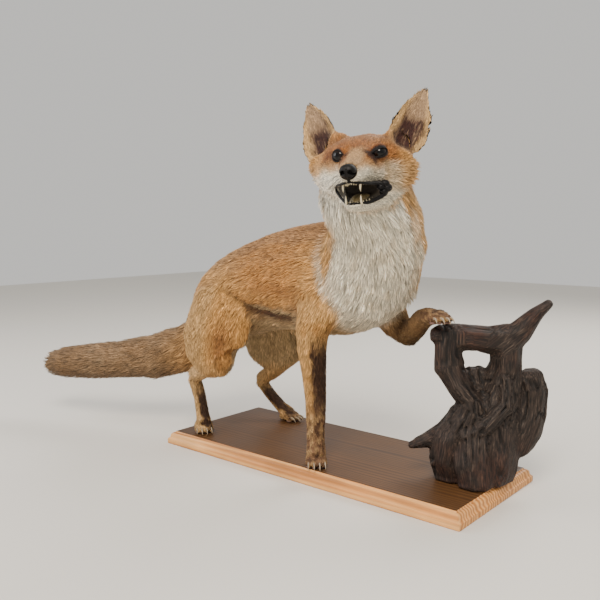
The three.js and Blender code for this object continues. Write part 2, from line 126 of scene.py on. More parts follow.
def along_bone(points, stations):
    """How each point lies by a bone: distance along it, offset from it, and the bone's direction."""
    stations = np.array(stations, float) * MM
    nearest = np.full(len(points), np.inf)
    along = np.zeros(len(points))
    offset = np.zeros_like(points)
    direction = np.zeros_like(points)
    passed = 0.0
    for start, end in zip(stations, stations[1:]):
        span = end[:3] - start[:3]
        length = np.linalg.norm(span)
        part = np.clip((points - start[:3]) @ span / length ** 2, 0, 1)
        away = points - start[:3] - part[:, None] * span
        ratio = np.linalg.norm(away, axis=1) / (start[3] + part * (end[3] - start[3]))
        closer = ratio < nearest
        nearest[closer] = ratio[closer]
        along[closer] = passed + part[closer] * length
        offset[closer] = away[closer]
        direction[closer] = span / length
        passed += length
    return along, offset, direction


def speckle(points, size, seed=0):
    """Smooth noise from -1 to 1 whose blobs are about `size` across; size may differ by axis."""
    cells = points / np.asarray(size)
    low = np.floor(cells).astype(np.int64)
    part = cells - low
    part = part * part * (3 - 2 * part)
    total = np.zeros(len(points))
    for corner in range(8):
        step = np.array([corner & 1, corner >> 1 & 1, corner >> 2 & 1])
        x, y, z = ((low + step) * np.array([73856093, 19349663, 83492791])).T
        mixed = (x ^ y ^ z ^ (seed * 2654435761)) & 0xFFFFFFFF
        mixed = (mixed ^ (mixed >> 15)) * 0x2C1B3C6D & 0xFFFFFFFF
        mixed = (mixed ^ (mixed >> 12)) * 0x297A2D39 & 0xFFFFFFFF
        mixed = mixed ^ (mixed >> 15)
        weight = np.prod(np.where(step, part, 1 - part), axis=1)
        total += weight * (mixed / 0xFFFFFFFF * 2 - 1)
    return total


def linear(code):
    """An sRGB hex value as linear red, green and blue."""
    parts = np.array([int(code[k:k + 2], 16) / 255 for k in (1, 3, 5)])
    return np.where(parts <= 0.04045, parts / 12.92, ((parts + 0.055) / 1.055) ** 2.4)


# ---------------------------------------------------------------- mesh helpers
def new_object(name, mesh):
    piece = bpy.data.objects.new(name, mesh)
    bpy.context.scene.collection.objects.link(piece)
    return piece


def from_bmesh(name, shape, smooth_faces=True):
    mesh = bpy.data.meshes.new(name)
    shape.to_mesh(mesh)
    shape.free()
    mesh.polygons.foreach_set("use_smooth", [smooth_faces] * len(mesh.polygons))
    return new_object(name, mesh)


def apply_modifiers(piece):
    bpy.context.view_layer.update()
    ready = piece.evaluated_get(bpy.context.evaluated_depsgraph_get())
    mesh = bpy.data.meshes.new_from_object(ready)
    piece.modifiers.clear()
    old = piece.data
    piece.data = mesh
    bpy.data.meshes.remove(old)


def read_array(items, key, width, kind=np.float32):
    flat = np.empty(len(items) * width, kind)
    items.foreach_get(key, flat)
    return flat.reshape(-1, width)


def vertex_array(mesh):
    return read_array(mesh.vertices, "co", 3).astype(float)


def normal_array(mesh):
    return read_array(mesh.vertex_normals, "vector", 3).astype(float)


def edge_array(mesh):
    return read_array(mesh.edges, "vertices", 2, np.int32)


def write_array(items, key, values):
    items.foreach_set(key, values.astype(np.float32).ravel())


def set_vertices(mesh, points):
    write_array(mesh.vertices, "co", points)
    mesh.update()


def relax(values, edges, rounds, hold=0.0):
    """Each vertex's value moves towards its neighbours' mean; hold, from 0 to 1, resists that."""
    values = np.array(values, float)
    flat = values.ndim == 1
    if flat:
        values = values[:, None]
    size = len(values)
    count = np.bincount(edges.ravel(), minlength=size)[:, None]
    free = 1 - (np.asarray(hold)[:, None] if np.ndim(hold) else hold)
    for _ in range(rounds):
        mean = np.empty_like(values)
        for column in range(values.shape[1]):
            data = values[:, column]
            mean[:, column] = (np.bincount(edges[:, 0], data[edges[:, 1]], size)
                               + np.bincount(edges[:, 1], data[edges[:, 0]], size))
        values += (mean / np.maximum(count, 1) - values) * 0.5 * free
    return values[:, 0] if flat else values


def merged_copy(names, swell):
    """One bmesh of copies of CAD nodes, merged and swollen so that their parting gaps close."""
    shape = bmesh.new()
    labels = []
    for name in names:
        copy = bmesh.new()
        copy.from_mesh(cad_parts[name].data)
        bmesh.ops.remove_doubles(copy, verts=copy.verts, dist=1e-6)
        copy.normal_update()
        for vertex in copy.verts:
            vertex.co += vertex.normal * swell
        mesh = bpy.data.meshes.new("copy")
        copy.to_mesh(mesh)
        copy.free()
        shape.from_mesh(mesh)
        labels += [name] * len(mesh.polygons)
        bpy.data.meshes.remove(mesh)
    return shape, labels


def refine(piece, centre, radius, rounds):
    """Cuts the faces within a radius of a centre into smaller ones."""
    shape = bmesh.new()
    shape.from_mesh(piece.data)
    for step in range(rounds):
        reach = radius * (1 - 0.12 * step)
        near = [edge for edge in shape.edges if (edge.verts[0].co - centre).length < reach]
        bmesh.ops.subdivide_edges(shape, edges=near, cuts=1, use_grid_fill=True)
    bmesh.ops.triangulate(shape, faces=[face for face in shape.faces if len(face.verts) > 4])
    shape.to_mesh(piece.data)
    shape.free()


def voxel_skin(name, names, swell, voxel, details=()):
    """The nodes' copies fused to one closed mesh, with the node that each vertex came from."""
    shape, labels = merged_copy(names, swell)
    piece = from_bmesh(name, shape)
    source = piece.data
    vertices = [vertex.co.copy() for vertex in source.vertices]
    tree = BVHTree.FromPolygons(vertices, [tuple(face.vertices) for face in source.polygons])
    remesh = piece.modifiers.new("fuse", "REMESH")
    remesh.mode = "VOXEL"
    remesh.voxel_size = voxel
    remesh.use_smooth_shade = True
    apply_modifiers(piece)
    for centre, radius, rounds in details:
        refine(piece, centre, radius, rounds)
    came_from = [labels[tree.find_nearest(vertex.co)[2]] for vertex in piece.data.vertices]
    return piece, came_from


def hand_over(piece, slot, *nodes):
    """Fixes a piece to the still body and hides the solids that it stands for."""
    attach(piece, "root")
    if nodes:
        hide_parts(*nodes)


def close_up(shape, name, material, slot, *nodes):
    bmesh.ops.recalc_face_normals(shape, faces=shape.faces)
    piece = from_bmesh(name, shape)
    piece.data.materials.append(material)
    hand_over(piece, slot, *nodes)


# ---------------------------------------------------------------- materials
def node(tree, kind, settings=(), **links):
    """Adds a node: settings are (name, value) pairs of the node or its inputs, links are its inputs."""
    made = tree.nodes.new(kind)
    for key, value in settings:
        if isinstance(key, int) or key in made.inputs:
            made.inputs[key].default_value = value
        else:
            setattr(made, key, value)
    for key, source in links.items():
        place = made.inputs[int(key[1:])] if key[0] == "_" and key[1:].isdigit() else made.inputs[key]
        tree.links.new(source, place)
    return made


def rgba(code):
    return (*linear(code), 1)


def new_material(name, code, **sockets):
    """A new material; sockets are values for the shader's own inputs, with _ for each space."""
    material = bpy.data.materials.new(name)
    material.use_nodes = True
    material.diffuse_color = rgba(code)
    shader = material.node_tree.nodes["Principled BSDF"]
    for key, value in sockets.items():
        shader.inputs[key.replace("_", " ")].default_value = value
    return material, material.node_tree, shader


def wire(tree, shader, colour, normal=None):
    """Links the finished colour, and the bumps where there are some, to the shader."""
    tree.links.new(colour, shader.inputs["Base Color"])
    if normal:
        tree.links.new(normal.outputs["Normal"], shader.inputs["Normal"])


def ramp(tree, factor, stops):
    made = node(tree, "ShaderNodeValToRGB", Fac=factor)
    while len(made.color_ramp.elements) < len(stops):
        made.color_ramp.elements.new(0.5)
    for element, (place, code) in zip(made.color_ramp.elements, stops):
        element.position = place
        element.color = rgba(code)
    return made.outputs["Color"]


# ---------------------------------------------------------------- eyes: places shared by lids and eyeballs
EYE_RADIUS = 12 * MM
LID_THICKNESS = 1.1 * MM
EYES = {
    "left": {"centre": on_head(45.5, 27, -1.5), "gaze": (0.84, 0.52, 0.02), "wide": 1.12, "up": 0.42,
             "down": 0.44},
    "right": {"centre": on_head(45.5, -29.5, -1.5), "gaze": (0.90, -0.43, 0.03), "wide": 0.98, "up": 0.70,
              "down": 0.62},
}


def eye_axes(side):
    forward, left, up = EYES[side]["gaze"]
    gaze = (head_forward * forward + head_left * left + head_up * up).normalized()
    # The outer corner sits a little higher than the inner one.
    outward = 1 if side == "left" else -1
    across = (head_left * outward + head_up * 0.22 - head_forward * 0.1)
    across = (across - gaze * across.dot(gaze)).normalized()
    rise = gaze.cross(across)
    if rise.dot(head_up) < 0:
        rise = -rise
    return np.array([gaze, across, rise])


def eye_opening(side, points):
    """How far each point lies from the eye's centre, and its place in the almond: under 1 is open."""
    facts = EYES[side]
    local = (points - np.array(facts["centre"])) @ eye_axes(side).T
    reach = np.linalg.norm(local, axis=1)
    across = np.arctan2(local[:, 1], local[:, 0])
    rise = np.arctan2(local[:, 2], np.hypot(local[:, 0], local[:, 1]))
    tall = np.where(rise > 0, facts["up"], facts["down"])
    # An almond: the lids meet in a point at each corner.
    bow = np.sqrt(np.clip(1 - (across / facts["wide"]) ** 2, 0, 1)) * 0.45
    bow += 0.55 * np.clip(1 - (across / facts["wide"]) ** 2, 0, 1)
    lid = np.maximum(tall * bow, 1e-3)
    place = np.abs(rise) / lid
    place = np.where(np.abs(across) >= facts["wide"], 9, place)
    place = np.where(local[:, 0] < 0, 9, place)
    margin = np.hypot(np.maximum(np.abs(across) - facts["wide"], 0), np.maximum(np.abs(rise) - lid, 0))
    margin = np.where(local[:, 0] < 0, 9, margin)
    return reach, place, margin


def eye_rise(side, points):
    """How far above the gaze each point lies, as an angle."""
    local = (points - np.array(EYES[side]["centre"])) @ eye_axes(side).T
    return np.arctan2(local[:, 2], np.hypot(local[:, 0], local[:, 1]))


# ---------------------------------------------------------------- ears: their cups' places
EAR_FACTS = {               # base, tip and open way on the head, and half width
    "left": ((-20, 49, 4), (-50, 82, 88), (0.93, 0.36, 0.1), 32),
    "right": ((-20, -79, 4), (-50, -107, 85), (0.93, -0.36, 0.1), 36),
}
# Up the ear, as shares of its length: its half width and the cup's depth, each as a share of the full one.
EAR_HEIGHTS = (0, 0.18, 0.36, 0.54, 0.7, 0.84, 0.94, 1)
EAR_WIDTHS = (0.86, 0.98, 1, 0.88, 0.68, 0.46, 0.28, 0.14)
EAR_DEPTHS = (0.55, 0.62, 0.6, 0.5, 0.38, 0.24, 0.12, 0.05)
EAR_CUP = 26


def ear_place(side, points):
    """How far up the ear each point lies, how far across it from -1 to 1, and the way the cup opens."""
    base, tip, opening, width = EAR_FACTS[side]
    foot = np.array(on_head(*base))
    axis = np.array(on_head(*tip)) - foot
    length = np.linalg.norm(axis)
    facing = np.array(opening) @ head_axes
    facing = unit(facing - axis * (facing @ axis) / length ** 2)
    wide = np.cross(axis / length, facing)
    up = (points - foot) @ axis / length ** 2
    half = np.interp(up, EAR_HEIGHTS, EAR_WIDTHS)
    return up, (points - foot) @ wide / (half * width * MM), facing


def open_ears():
    """The fur at the ears' roots is hollowed in front of each cup, and counts as ear from there on."""
    points = vertex_array(skin.data)
    names = np.array(skin_nodes)
    drawn = np.zeros(len(names))
    for side in EAR_FACTS:
        up, across, facing = ear_place(side, points)
        proud = (points - np.array(on_head(*EAR_FACTS[side][0]))) @ facing
        cup = np.interp(up, EAR_HEIGHTS, EAR_DEPTHS)
        wanted = (-EAR_CUP * cup * (1 - np.minimum(across ** 2, 1)) + 2.5) * MM
        rim = np.interp(up, (-0.1, 0.12, 0.35), (0.55, 0.86, 1.05))
        cupped = (smooth(-0.1, 0.06, up) * smooth(rim, rim - 0.22, np.abs(across)) * (names == "head")
                  * (up < 0.7))
        points -= np.outer(np.maximum(proud - wanted, 0) * cupped, facing)
        names[(cupped > 0.3) & (proud > wanted - 4 * MM)] = "ear_" + side
        lining = smooth(-0.12, 0.0, up) * smooth(0.62, 0.5, up) * smooth(rim, rim - 0.2, np.abs(across))
        corner = np.linalg.norm(points - np.array(on_head(-25, 66, -7)), axis=1) / MM
        drawn = np.maximum(drawn, lining * (proud > wanted - 5 * MM))
        drawn = np.maximum(drawn, smooth(22, 13, corner))
    edges = edge_array(skin.data)
    set_vertices(skin.data, relax(points, edges, 22, 1 - smooth(0.05, 0.6, relax(drawn, edges, 2))))
    return list(names)


# ---------------------------------------------------------------- the skin under the coat
VOXEL = 2.3 * MM
FINE_PLACES = [(EYES[side]["centre"], 22 * MM, 2) for side in EYES]
FINE_PLACES.append((on_head(90, 0, -50), 34 * MM, 1))
skin, skin_nodes = voxel_skin("fox_skin", FLESH + ["eye_left", "eye_right"], 0.6 * MM, VOXEL, FINE_PLACES)
skin_nodes = ["head" if name.startswith("eye") else name for name in skin_nodes]
part_of_node = {node: PARTS.index(part) for part in PARTS for node in NODES_OF[part]}


def flatten_teeth():
    """The solids' teeth are left out of the skin: separate ones stand in the gums."""
    points = vertex_array(skin.data)
    places = head_coordinates(points)
    names = np.array(skin_nodes)
    upper = (names == "head") & (places[:, 0] > 48) & (places[:, 2] < -43.5) & (places[:, 2] > -60)
    points[upper] += np.outer(-43.5 - places[upper, 2], head_axes[2]) * MM
    # The lower lip lies deeper towards the front, as the jaw hangs open.
    floor = -62.5 - 7.0 * smooth(52, 72, places[:, 0])
    lower = (names == "lower_jaw") & (places[:, 0] > 48) & (places[:, 2] > floor) & (places[:, 2] < -44)
    points[lower] += np.outer((floor - places[:, 2])[lower], head_axes[2]) * MM
    set_vertices(skin.data, points)


def part_weights():
    """The share of each part at each vertex, softened where parts meet."""
    own = np.array([part_of_node[name] for name in skin_nodes])
    shares = np.eye(len(PARTS))[own]
    firm = np.array([0.75 if name.startswith("ear") else 0.0 for name in skin_nodes])
    return own, relax(shares, edge_array(skin.data), 30, firm)


flatten_teeth()
skin_nodes = open_ears()
own_part, shares = part_weights()


def share_of(*parts):
    return sum(shares[:, PARTS.index(part)] for part in parts)


def flank_fold(x):
    """The height of the fold of slack skin that runs from the haunch forwards to the belly."""
    return np.interp(x, (-215, -195, -150, -90, -45), (312, 304, 286, 276, 272))


def smooth_skin():
    """Evens out the joins of the solids, mostly on the trunk and least on the face, ears and paws."""
    names = np.array(skin_nodes)
    hold = np.zeros(len(names))
    for name in set(skin_nodes):
        firm = 0.0
        if name.startswith(("head", "lower_jaw")):
            firm = 0.72
        elif name.startswith("ear"):
            firm = 0.93
        elif name.endswith("paw"):
            firm = 0.8
        elif name.endswith(("forearm", "shank")):
            firm = 0.4
        hold[names == name] = firm
    edges = edge_array(skin.data)
    hold = relax(hold, edges, 6)
    points = relax(vertex_array(skin.data), edges, 26, hold)
    # Shoulders and haunches run into the trunk with no crease.
    body = [PARTS.index(part) for part in PARTS if part != "head" and not part.startswith("ear")]
    wide = relax(shares, edges, 30)[:, body]
    mixed = smooth(0.06, 0.3, wide.sum(1) - np.sum(wide ** 2, 1))
    points = relax(points, edges, 45, 1 - mixed)
    # The front of the right knee is drawn back into a round.
    knee = (smooth(-204, -172, points[:, 0] / MM) * smooth(216, 188, points[:, 2] / MM)
            * share_of("hind_right"))
    points += np.outer(knee * MM, (-16, 0, 6))
    points = relax(points, edges, 30, 1 - knee)
    set_vertices(skin.data, relax(points, edges, 3, hold))


smooth_skin()


# How deep the coat stands over the skin and how long its locks are, in millimetres.
COAT = {                # depth, length, locks per square centimetre, width
    "trunk": (7.0, 19, 15, 1.7),
    "neck": (10, 26, 13.6, 1.9),
    "tail": (13, 34, 17, 2.0),
    "fore_right": (2.8, 9, 25, 1.15),
    "fore_left": (2.8, 9, 25, 1.15),
    "hind_right": (3.6, 11, 24.5, 1.35),
    "hind_left": (3.6, 11, 24.5, 1.35),
    "ear_left": (0.8, 7, 30, 0.9),
    "ear_right": (0.8, 7, 30, 0.9),
    "head": (3.0, 9, 40, 1.1),
}


class Coat:
    """What is kept for every vertex of the skin: its coat's sizes, lie, bare places and colours."""


coat = Coat()


def coat_plan():
    points = vertex_array(skin.data)
    places = head_coordinates(points)
    mesh_edges = edge_array(skin.data)
    values = sum(np.outer(shares[:, k], COAT[part]) for k, part in enumerate(PARTS))
    depth, length, crowd, width = values.T
    forward, left, up = places.T
    on_face = share_of("head")
    # The face: short from the nose to the brow, then longer over the cheeks and the throat.
    cheek = smooth(46, 4, forward) * smooth(0, -30, up + 0.28 * (forward - 20))
    crown = smooth(50, -30, forward) * smooth(-30, 0, up)
    muzzle = smooth(40, 60, forward)
    face_depth = 2.2 + 7 * cheek + 1.5 * crown - 1.2 * muzzle
    face_length = 6 + 13 * cheek + 2.5 * crown - 2.6 * muzzle
    face_width = 1.0 + 0.5 * cheek + 0.1 * crown - 0.25 * muzzle
    face_crowd = 41 - 19 * cheek - 7 * crown + 29 * muzzle
    for side in EAR_FACTS:
        up_ear, across_ear, _ = ear_place(side, points)
        root = smooth(-0.25, -0.05, up_ear) * smooth(1.5, 1.15, np.abs(across_ear))
        face_length = face_length * (1 - 0.5 * root)
        face_depth = face_depth * (1 - 0.3 * root)
    for side in EYES:
        reach, _, margin = eye_opening(side, points)
        near = smooth(1.5, 0.5, margin) * smooth(30 * MM, 18 * MM, reach)
        face_depth = face_depth * (1 - near) + 0.8 * near
        face_length = face_length * (1 - near) + 3.0 * near
        face_width = face_width * (1 - near) + 0.7 * near
    depth = depth + on_face * (face_depth - COAT["head"][0])
    length = length + on_face * (face_length - COAT["head"][1])
    crowd = crowd + on_face * (face_crowd - COAT["head"][2])
    width = width + on_face * (face_width - COAT["head"][3])
    # The legs: longer above, short over the foot.
    for part, low, high in (("fore_right", 60, 280), ("fore_left", 60, 280), ("hind_right", 60, 260),
                            ("hind_left", 60, 260)):
        height = points[:, 2] / MM
        if part == "fore_left":
            height = 300 - along_bone(points, BONES[part])[0] / MM
        lift = smooth(low, high, height)
        own = share_of(part)
        depth += own * (-1.6 + 4.0 * lift)
        length += own * (-3.5 + 9 * lift)
        width += own * (-0.2 + 0.5 * lift)
        crowd += own * (6 - 12 * lift)
    coat.depth = np.maximum(relax(depth, mesh_edges, 6), 0.4)
    coat.length = np.maximum(relax(length, mesh_edges, 6), 2.5)
    coat.crowd = np.maximum(relax(crowd, mesh_edges, 6), 4)
    coat.width = np.maximum(relax(width, mesh_edges, 6), 0.6)


def lie_of_the_coat():
    points = vertex_array(skin.data)
    normals = normal_array(skin.data)
    lie = np.zeros_like(points)
    coat.along = np.zeros(len(points))
    coat.around = np.zeros(len(points))
    coat.beside = np.zeros_like(points)
    for k, part in enumerate(PARTS):
        along, offset, direction = along_bone(points, BONES[part])
        if part == "head":
            away = points - np.array(on_head(122, 0, -22))
            direction = unit(away) * 0.8 + direction * 0.5
            # Over the cheeks the coat sweeps out and down.
            back = smooth(40, -20, head_coordinates(points)[:, 0])
            direction = direction - np.outer(back * 0.35, head_axes[2])
        if part == "trunk":
            steep = np.abs(normals[:, 1]) * 0.35
            direction = direction - np.outer(steep, (0, 0, 1))
        lie += shares[:, k, None] * unit(direction)
        mine = own_part == k
        coat.along[mine] = along[mine]
        side = unit(np.cross(direction, (0, 0, 1)) + 1e-6)
        rise = unit(np.cross(side, direction))
        coat.around[mine] = np.arctan2(np.sum(offset * side, 1), np.sum(offset * rise, 1))[mine]
        lay = np.stack([along, np.sum(offset * side, 1), np.sum(offset * rise, 1)], 1)
        coat.beside[mine] = lay[mine]
    lie -= normals * np.sum(lie * normals, 1, keepdims=True)
    lie = relax(unit(lie), edge_array(skin.data), 14)
    lie -= normals * np.sum(lie * normals, 1, keepdims=True)
    coat.lie = unit(lie)


coat_plan()
lie_of_the_coat()


def sink_skin():
    points = vertex_array(skin.data)
    normals = normal_array(skin.data)
    edges = edge_array(skin.data)
    normals = unit(relax(normals, edges, 6, 0.3))
    coat.outer = points.copy()
    points = points - normals * (coat.depth * MM)[:, None]
    off_fold = (points[:, 2] / MM - flank_fold(points[:, 0] / MM)) / 11
    along_fold = smooth(-235, -205, points[:, 0] / MM) * smooth(-20, -60, points[:, 0] / MM)
    coat.fold = (np.exp(-off_fold ** 2) * along_fold * smooth(-0.3, -0.7, normals[:, 1])
                 * share_of("trunk", "hind_right"))
    points = points - normals * (coat.fold * 5 * MM)[:, None]
    set_vertices(skin.data, relax(points, edges, 2))


sink_skin()


# ---------------------------------------------------------------- lids and mouth
def shape_lids():
    """Draws the skin over each eyeball as lids, and opens it along an almond."""
    points = vertex_array(skin.data)
    coat.bare = np.zeros(len(points))
    coat.rim = np.zeros(len(points))
    for side, facts in EYES.items():
        centre = np.array(facts["centre"])
        reach, place, margin = eye_opening(side, points)
        near = reach < EYE_RADIUS * 1.9
        lid = EYE_RADIUS + LID_THICKNESS + 0.7 * MM * smooth(0.22, 0.03, margin)
        lid -= 0.5 * MM * smooth(0.2, 0.32, margin) * smooth(0.5, 0.36, margin)
        facing = near & (margin < 3)
        # Lids hug the ball by the opening and run out into the face around it.
        wanted = np.where(reach > lid, lid + (reach - lid) * smooth(0.1, 0.85, margin), lid)
        inside = facing & (place < 1)
        wanted[inside] = EYE_RADIUS * 0.72
        points[facing] = centre + unit(points[facing] - centre) * wanted[facing, None]
        coat.bare = np.maximum(coat.bare, near * smooth(0.26, 0.14, margin))
        brow = 0.22 if side == "left" else 0.06
        dark_to = 0.1 + brow * smooth(-0.1, 0.3, eye_rise(side, points))
        coat.rim = np.maximum(coat.rim, near * smooth(0.1, 0.0, margin - dark_to))
    set_vertices(skin.data, points)


def bare_places():
    """No hair grows in the mouth or on the nose."""
    places = head_coordinates(coat.outer)
    forward, left, up = places.T
    normals = normal_array(skin.data)
    facing_up = normals @ head_axes[2]
    names = np.array(skin_nodes)
    upper_inside = ((names == "head") & (up < -40.5) & (forward > 34) & (facing_up < -0.35)
                    & (np.abs(left) < 30))
    lower_inside = (names == "lower_jaw") & (up > -73) & (forward > 34) & (facing_up > 0.35)
    lower_line = np.where(left > 0, np.interp(forward, (50, 56, 65, 76, 88), (-54, -60, -65, -69, -71)),
                          np.interp(forward, (56, 64, 74, 86, 98), (-52, -60, -66, -69.5, -71)))
    upper_line = np.interp(forward, (52, 62, 74, 88), (-49, -46, -44, -43))
    back = np.where(left > 0, 51, 57)
    between = (forward > back) & (up < upper_line) & (up > lower_line) & np.isin(names, ("head", "lower_jaw"))
    hollow = np.where(left > 0, np.interp(forward, (42, 60, 80, 106), (33, 30, 25, 20)),
                      np.interp(forward, (36, 44, 60, 80, 106), (34, 39, 35, 27, 20)))
    floor_line = np.interp(forward, (38, 46, 60), (-60, -66, -69))
    lining = (forward > 33) & (np.abs(left) < hollow) & (up < -44) & (up > floor_line)
    inside = upper_inside | lower_inside | between | lining
    coat.mouth = relax(inside.astype(float), edge_array(skin.data), 1)
    coat.nose = (smooth(14.5, 12.5, np.hypot(left, (up + 25) * 1.1)) * smooth(103, 107, forward)
                 * share_of("head"))
    coat.bare = np.clip(np.maximum(coat.bare, smooth(0.3, 0.6, coat.mouth)) + coat.nose, 0, 1)


shape_lids()
bare_places()


# ---------------------------------------------------------------- markings, shared by skin and coat
TONES = {name: linear(code) for name, code in {
    "rust": "#AC7438", "deep_rust": "#7C4A25", "golden": "#C49050", "buff": "#C19C69", "cream": "#EDE3CB",
    "grey": "#86765F", "black": "#120E0D", "stocking": "#2A1917", "brown": "#7E5C42", "underfur": "#B8A079",
    "saddle": "#8E6846", "tan": "#AC8A60", "dark_ear": "#38201A", "pale_ear": "#A28567", "tail": "#80603D",
    "brow": "#8E5829", "snow": "#F8F2E2", "umber": "#5E4424", "straw": "#CBA069", "grey_brown": "#6B5440",
}.items()}


def paint(base, *layers):
    """A tone, or a colour at every vertex, with tones laid over it in turn: each with its share."""
    colour = TONES[base] if isinstance(base, str) else base
    for tone, share in layers:
        colour = blend(colour, TONES[tone], share)
    return colour


class Field:
    """What the markings are worked out from, at every vertex of the skin."""

    def __init__(self):
        self.points = coat.outer
        self.x, self.y, self.z = self.points.T / MM
        self.normals = normal_array(skin.data)
        self.forward, self.left, self.up = head_coordinates(self.points).T
        self.drift = speckle(self.points, 0.03, 3) * 0.5 + speckle(self.points, 0.012, 4) * 0.5
        self.fine = speckle(self.points, 0.006, 6)

    def facing(self, way):
        return self.normals @ unit(np.array(way, float))


def trunk_marks(field):
    """Rust flanks under a duller back, golden over shoulder and haunch, grey-buff below, painted shade low
    down.
    """
    x, z, drift = field.x, field.z, field.drift
    upward = field.normals[:, 2]
    shoulder = np.exp(-((np.maximum(np.abs(x - 45) - 22, 0) / 42) ** 2 + ((z - 325) / 95) ** 2))
    haunch = np.exp(-(((x + 240) / 62) ** 2 + ((z - 295) / 80) ** 2))
    over_fold = z - flank_fold(x) + 6 * drift
    below_fold = smooth(-6, -28, over_fold) * smooth(-10, -50, x)
    belly = np.maximum(smooth(-0.35, -0.85, upward + 0.15 * drift), below_fold)
    return paint("rust",
                 ("saddle", 0.75 * smooth(0.2, 0.8, upward + 0.3 * drift)),
                 # Painted shade: the sides that face down are darkened towards deep rust.
                 ("deep_rust", smooth(0.2, -0.3, upward + 0.2 * drift) * 0.45),
                 ("golden", 0.95 * shoulder * smooth(0.85, 0.5, upward)),
                 # Painted shadow: the crease of the flank fold is painted near black.
                 ("stocking", np.clip(coat.fold * 1.9, 0, 1) * 0.85),
                 ("buff", 0.7 * haunch),
                 ("golden", 0.6 * np.exp(-((over_fold - 26) / 16) ** 2) * smooth(-10, -60, x)),
                 ("underfur", belly * 0.85),
                 ("cream", smooth(82, 122, x + 0.25 * (360 - z) - 0.35 * field.y) * 0.85))


def neck_marks(field):
    """A cream bib that turns with the head, between golden sides; painted light whitens its top."""
    turn = smooth(370, 520, field.z)
    bib_way = unit(blend(np.array((0.66, -0.75, -0.1)), np.array((0.18, -0.98, -0.05)), turn))
    front = np.sum(field.normals * bib_way, 1) + 0.12 * field.drift
    streaks = speckle(field.points * (1, 1, 0.3), 0.008, 5)
    bib = smooth(0.2, 0.6, front)
    return paint("rust",
                 ("golden", smooth(-0.45, 0.1, front)),
                 ("cream", smooth(0.0, 0.45, front - 0.14 - 0.12 * (1 - turn))),
                 ("buff", smooth(-0.8, -0.1, front) * smooth(0.35, 0.0, front) * 0.75),
                 # Painted light: the top of the bib is painted whiter than its own cream.
                 ("snow", bib * smooth(440, 485, field.z) * 0.7),
                 ("underfur", bib * smooth(0.1, 0.9, streaks) * 0.4))


def eye_shadows(face, field):
    """Brown shadow in the fur round the eyes, deeper round the left one."""
    for side, depth, spread in (("left", 0.9, 0.7), ("right", 0.5, 0.6)):
        reach, _, margin = eye_opening(side, field.points)
        near = smooth(2.6, 1.9, reach / EYE_RADIUS)
        under = smooth(-0.3, -0.8, eye_rise(side, field.points))
        ring = near * smooth(spread, 0.4 * spread, margin + 0.15 * field.drift + 0.3 * under)
        outer_ring = near * smooth(1.5 * spread, 0.7 * spread, margin + 0.15 * field.drift)
        face = paint(face, ("deep_rust", 0.7 * depth * outer_ring), ("stocking", depth * ring))
    return face


def face_marks(field):
    forward, left, up, drift = field.forward, field.left, field.up, field.drift
    streaks = speckle(np.stack([forward * 0.25, left, up * 0.25], 1) * MM, 0.004, 12)
    cheeks = smooth(-12, -30, up - 0.35 * np.abs(forward - 20) * (forward < 20) + 6 * drift)
    muzzle_side = smooth(-14, -31, up + 4 * drift) * smooth(34, 54, forward)
    fringe = smooth(-4, -22, up + 5 * drift) * smooth(24, 44, forward + 4 * drift)
    # Golden behind the cheeks, further down on the left.
    outer = np.maximum(smooth(40, 58, left + 4 * drift) * smooth(-74, -50, up),
                       smooth(-58, -72, left - 4 * drift) * smooth(-52, -34, up))
    bridge = smooth(48, 64, forward) * smooth(17, 9, np.abs(left)) * smooth(-26, -14, up)
    face = paint("brow",
                 ("saddle", smooth(0, 20, up + 6 * drift) * smooth(40, 10, forward) * 0.8),
                 ("deep_rust", smooth(-0.2, 0.6, streaks) * smooth(-18, 0, up) * 0.75),
                 ("buff", fringe * 0.8),
                 ("cream", np.maximum(cheeks * smooth(52, 30, forward), muzzle_side)),
                 ("buff", 0.55 * smooth(20, 44, left + 6 * drift) * smooth(-66, -50, up) * cheeks),
                 ("golden", outer * 0.85 * smooth(60, 40, forward)),
                 ("tan", bridge * 0.85),
                 ("cream", share_of("head") * smooth(-60, -66, up)))
    face = eye_shadows(face, field)
    # Painted light: the right cheek alone is painted whiter over its cream.
    face = paint(face, ("snow", 0.7 * smooth(-8, -28, left) * smooth(-24, -36, up) * cheeks))
    # The nape and the sides behind the cheeks are golden again, down to the throat.
    nape = smooth(2, -18, forward + 4 * drift) * smooth(-84, -62, up)
    face = blend(face, paint("golden", ("rust", smooth(-50, -10, up))), nape)
    # A dark line runs from each eye's inner corner towards the nose.
    tear = smooth(7, 2, np.hypot((forward - 60) * 0.5, (up + 8) + (forward - 56) * 0.5))
    beside = smooth(12, 15, np.abs(left))
    return paint(face, ("deep_rust", 0.7 * tear * beside * smooth(24, 20, np.abs(left))))


def ear_marks(field, side):
    """Black behind; inside, pale hair along the edges of a dark hollow."""
    up, across, facing = ear_place(side, field.points)
    hollow = smooth(0.72, 0.4, up + 0.25 * field.drift) * smooth(-0.1, 0.08, up)
    hairs = speckle(np.stack([across * 36, up * 16, 0 * up], 1) * MM, 2.2 * MM, 31)
    inner = paint("pale_ear",
                  ("dark_ear", hollow * (1 - 0.5 * smooth(0.25, 0.8, hairs))),
                  ("buff", smooth(0.45, 0.82, np.abs(across + 0.2 * field.drift)) * 0.9),
                  ("black", smooth(0.93, 0.99, up) * 0.8))
    back = paint("golden", ("black", smooth(0.05, 0.3, up)))
    return blend(back, inner, smooth(0.05, 0.4, field.normals @ facing))


LEG_STREAKS = {             # the way the streak faces, where it and the foot start, and its strength
    "fore_right": ((0.97, -0.24, 0), 66, 190, 1.0),
    "fore_left": ((0.2, -0.5, 0.85), 60, 205, 0.6),
    "hind_right": ((0.97, -0.24, 0), 205, 330, 1.0),
    "hind_left": ((0.92, -0.38, 0), 205, 300, 1.0),
}


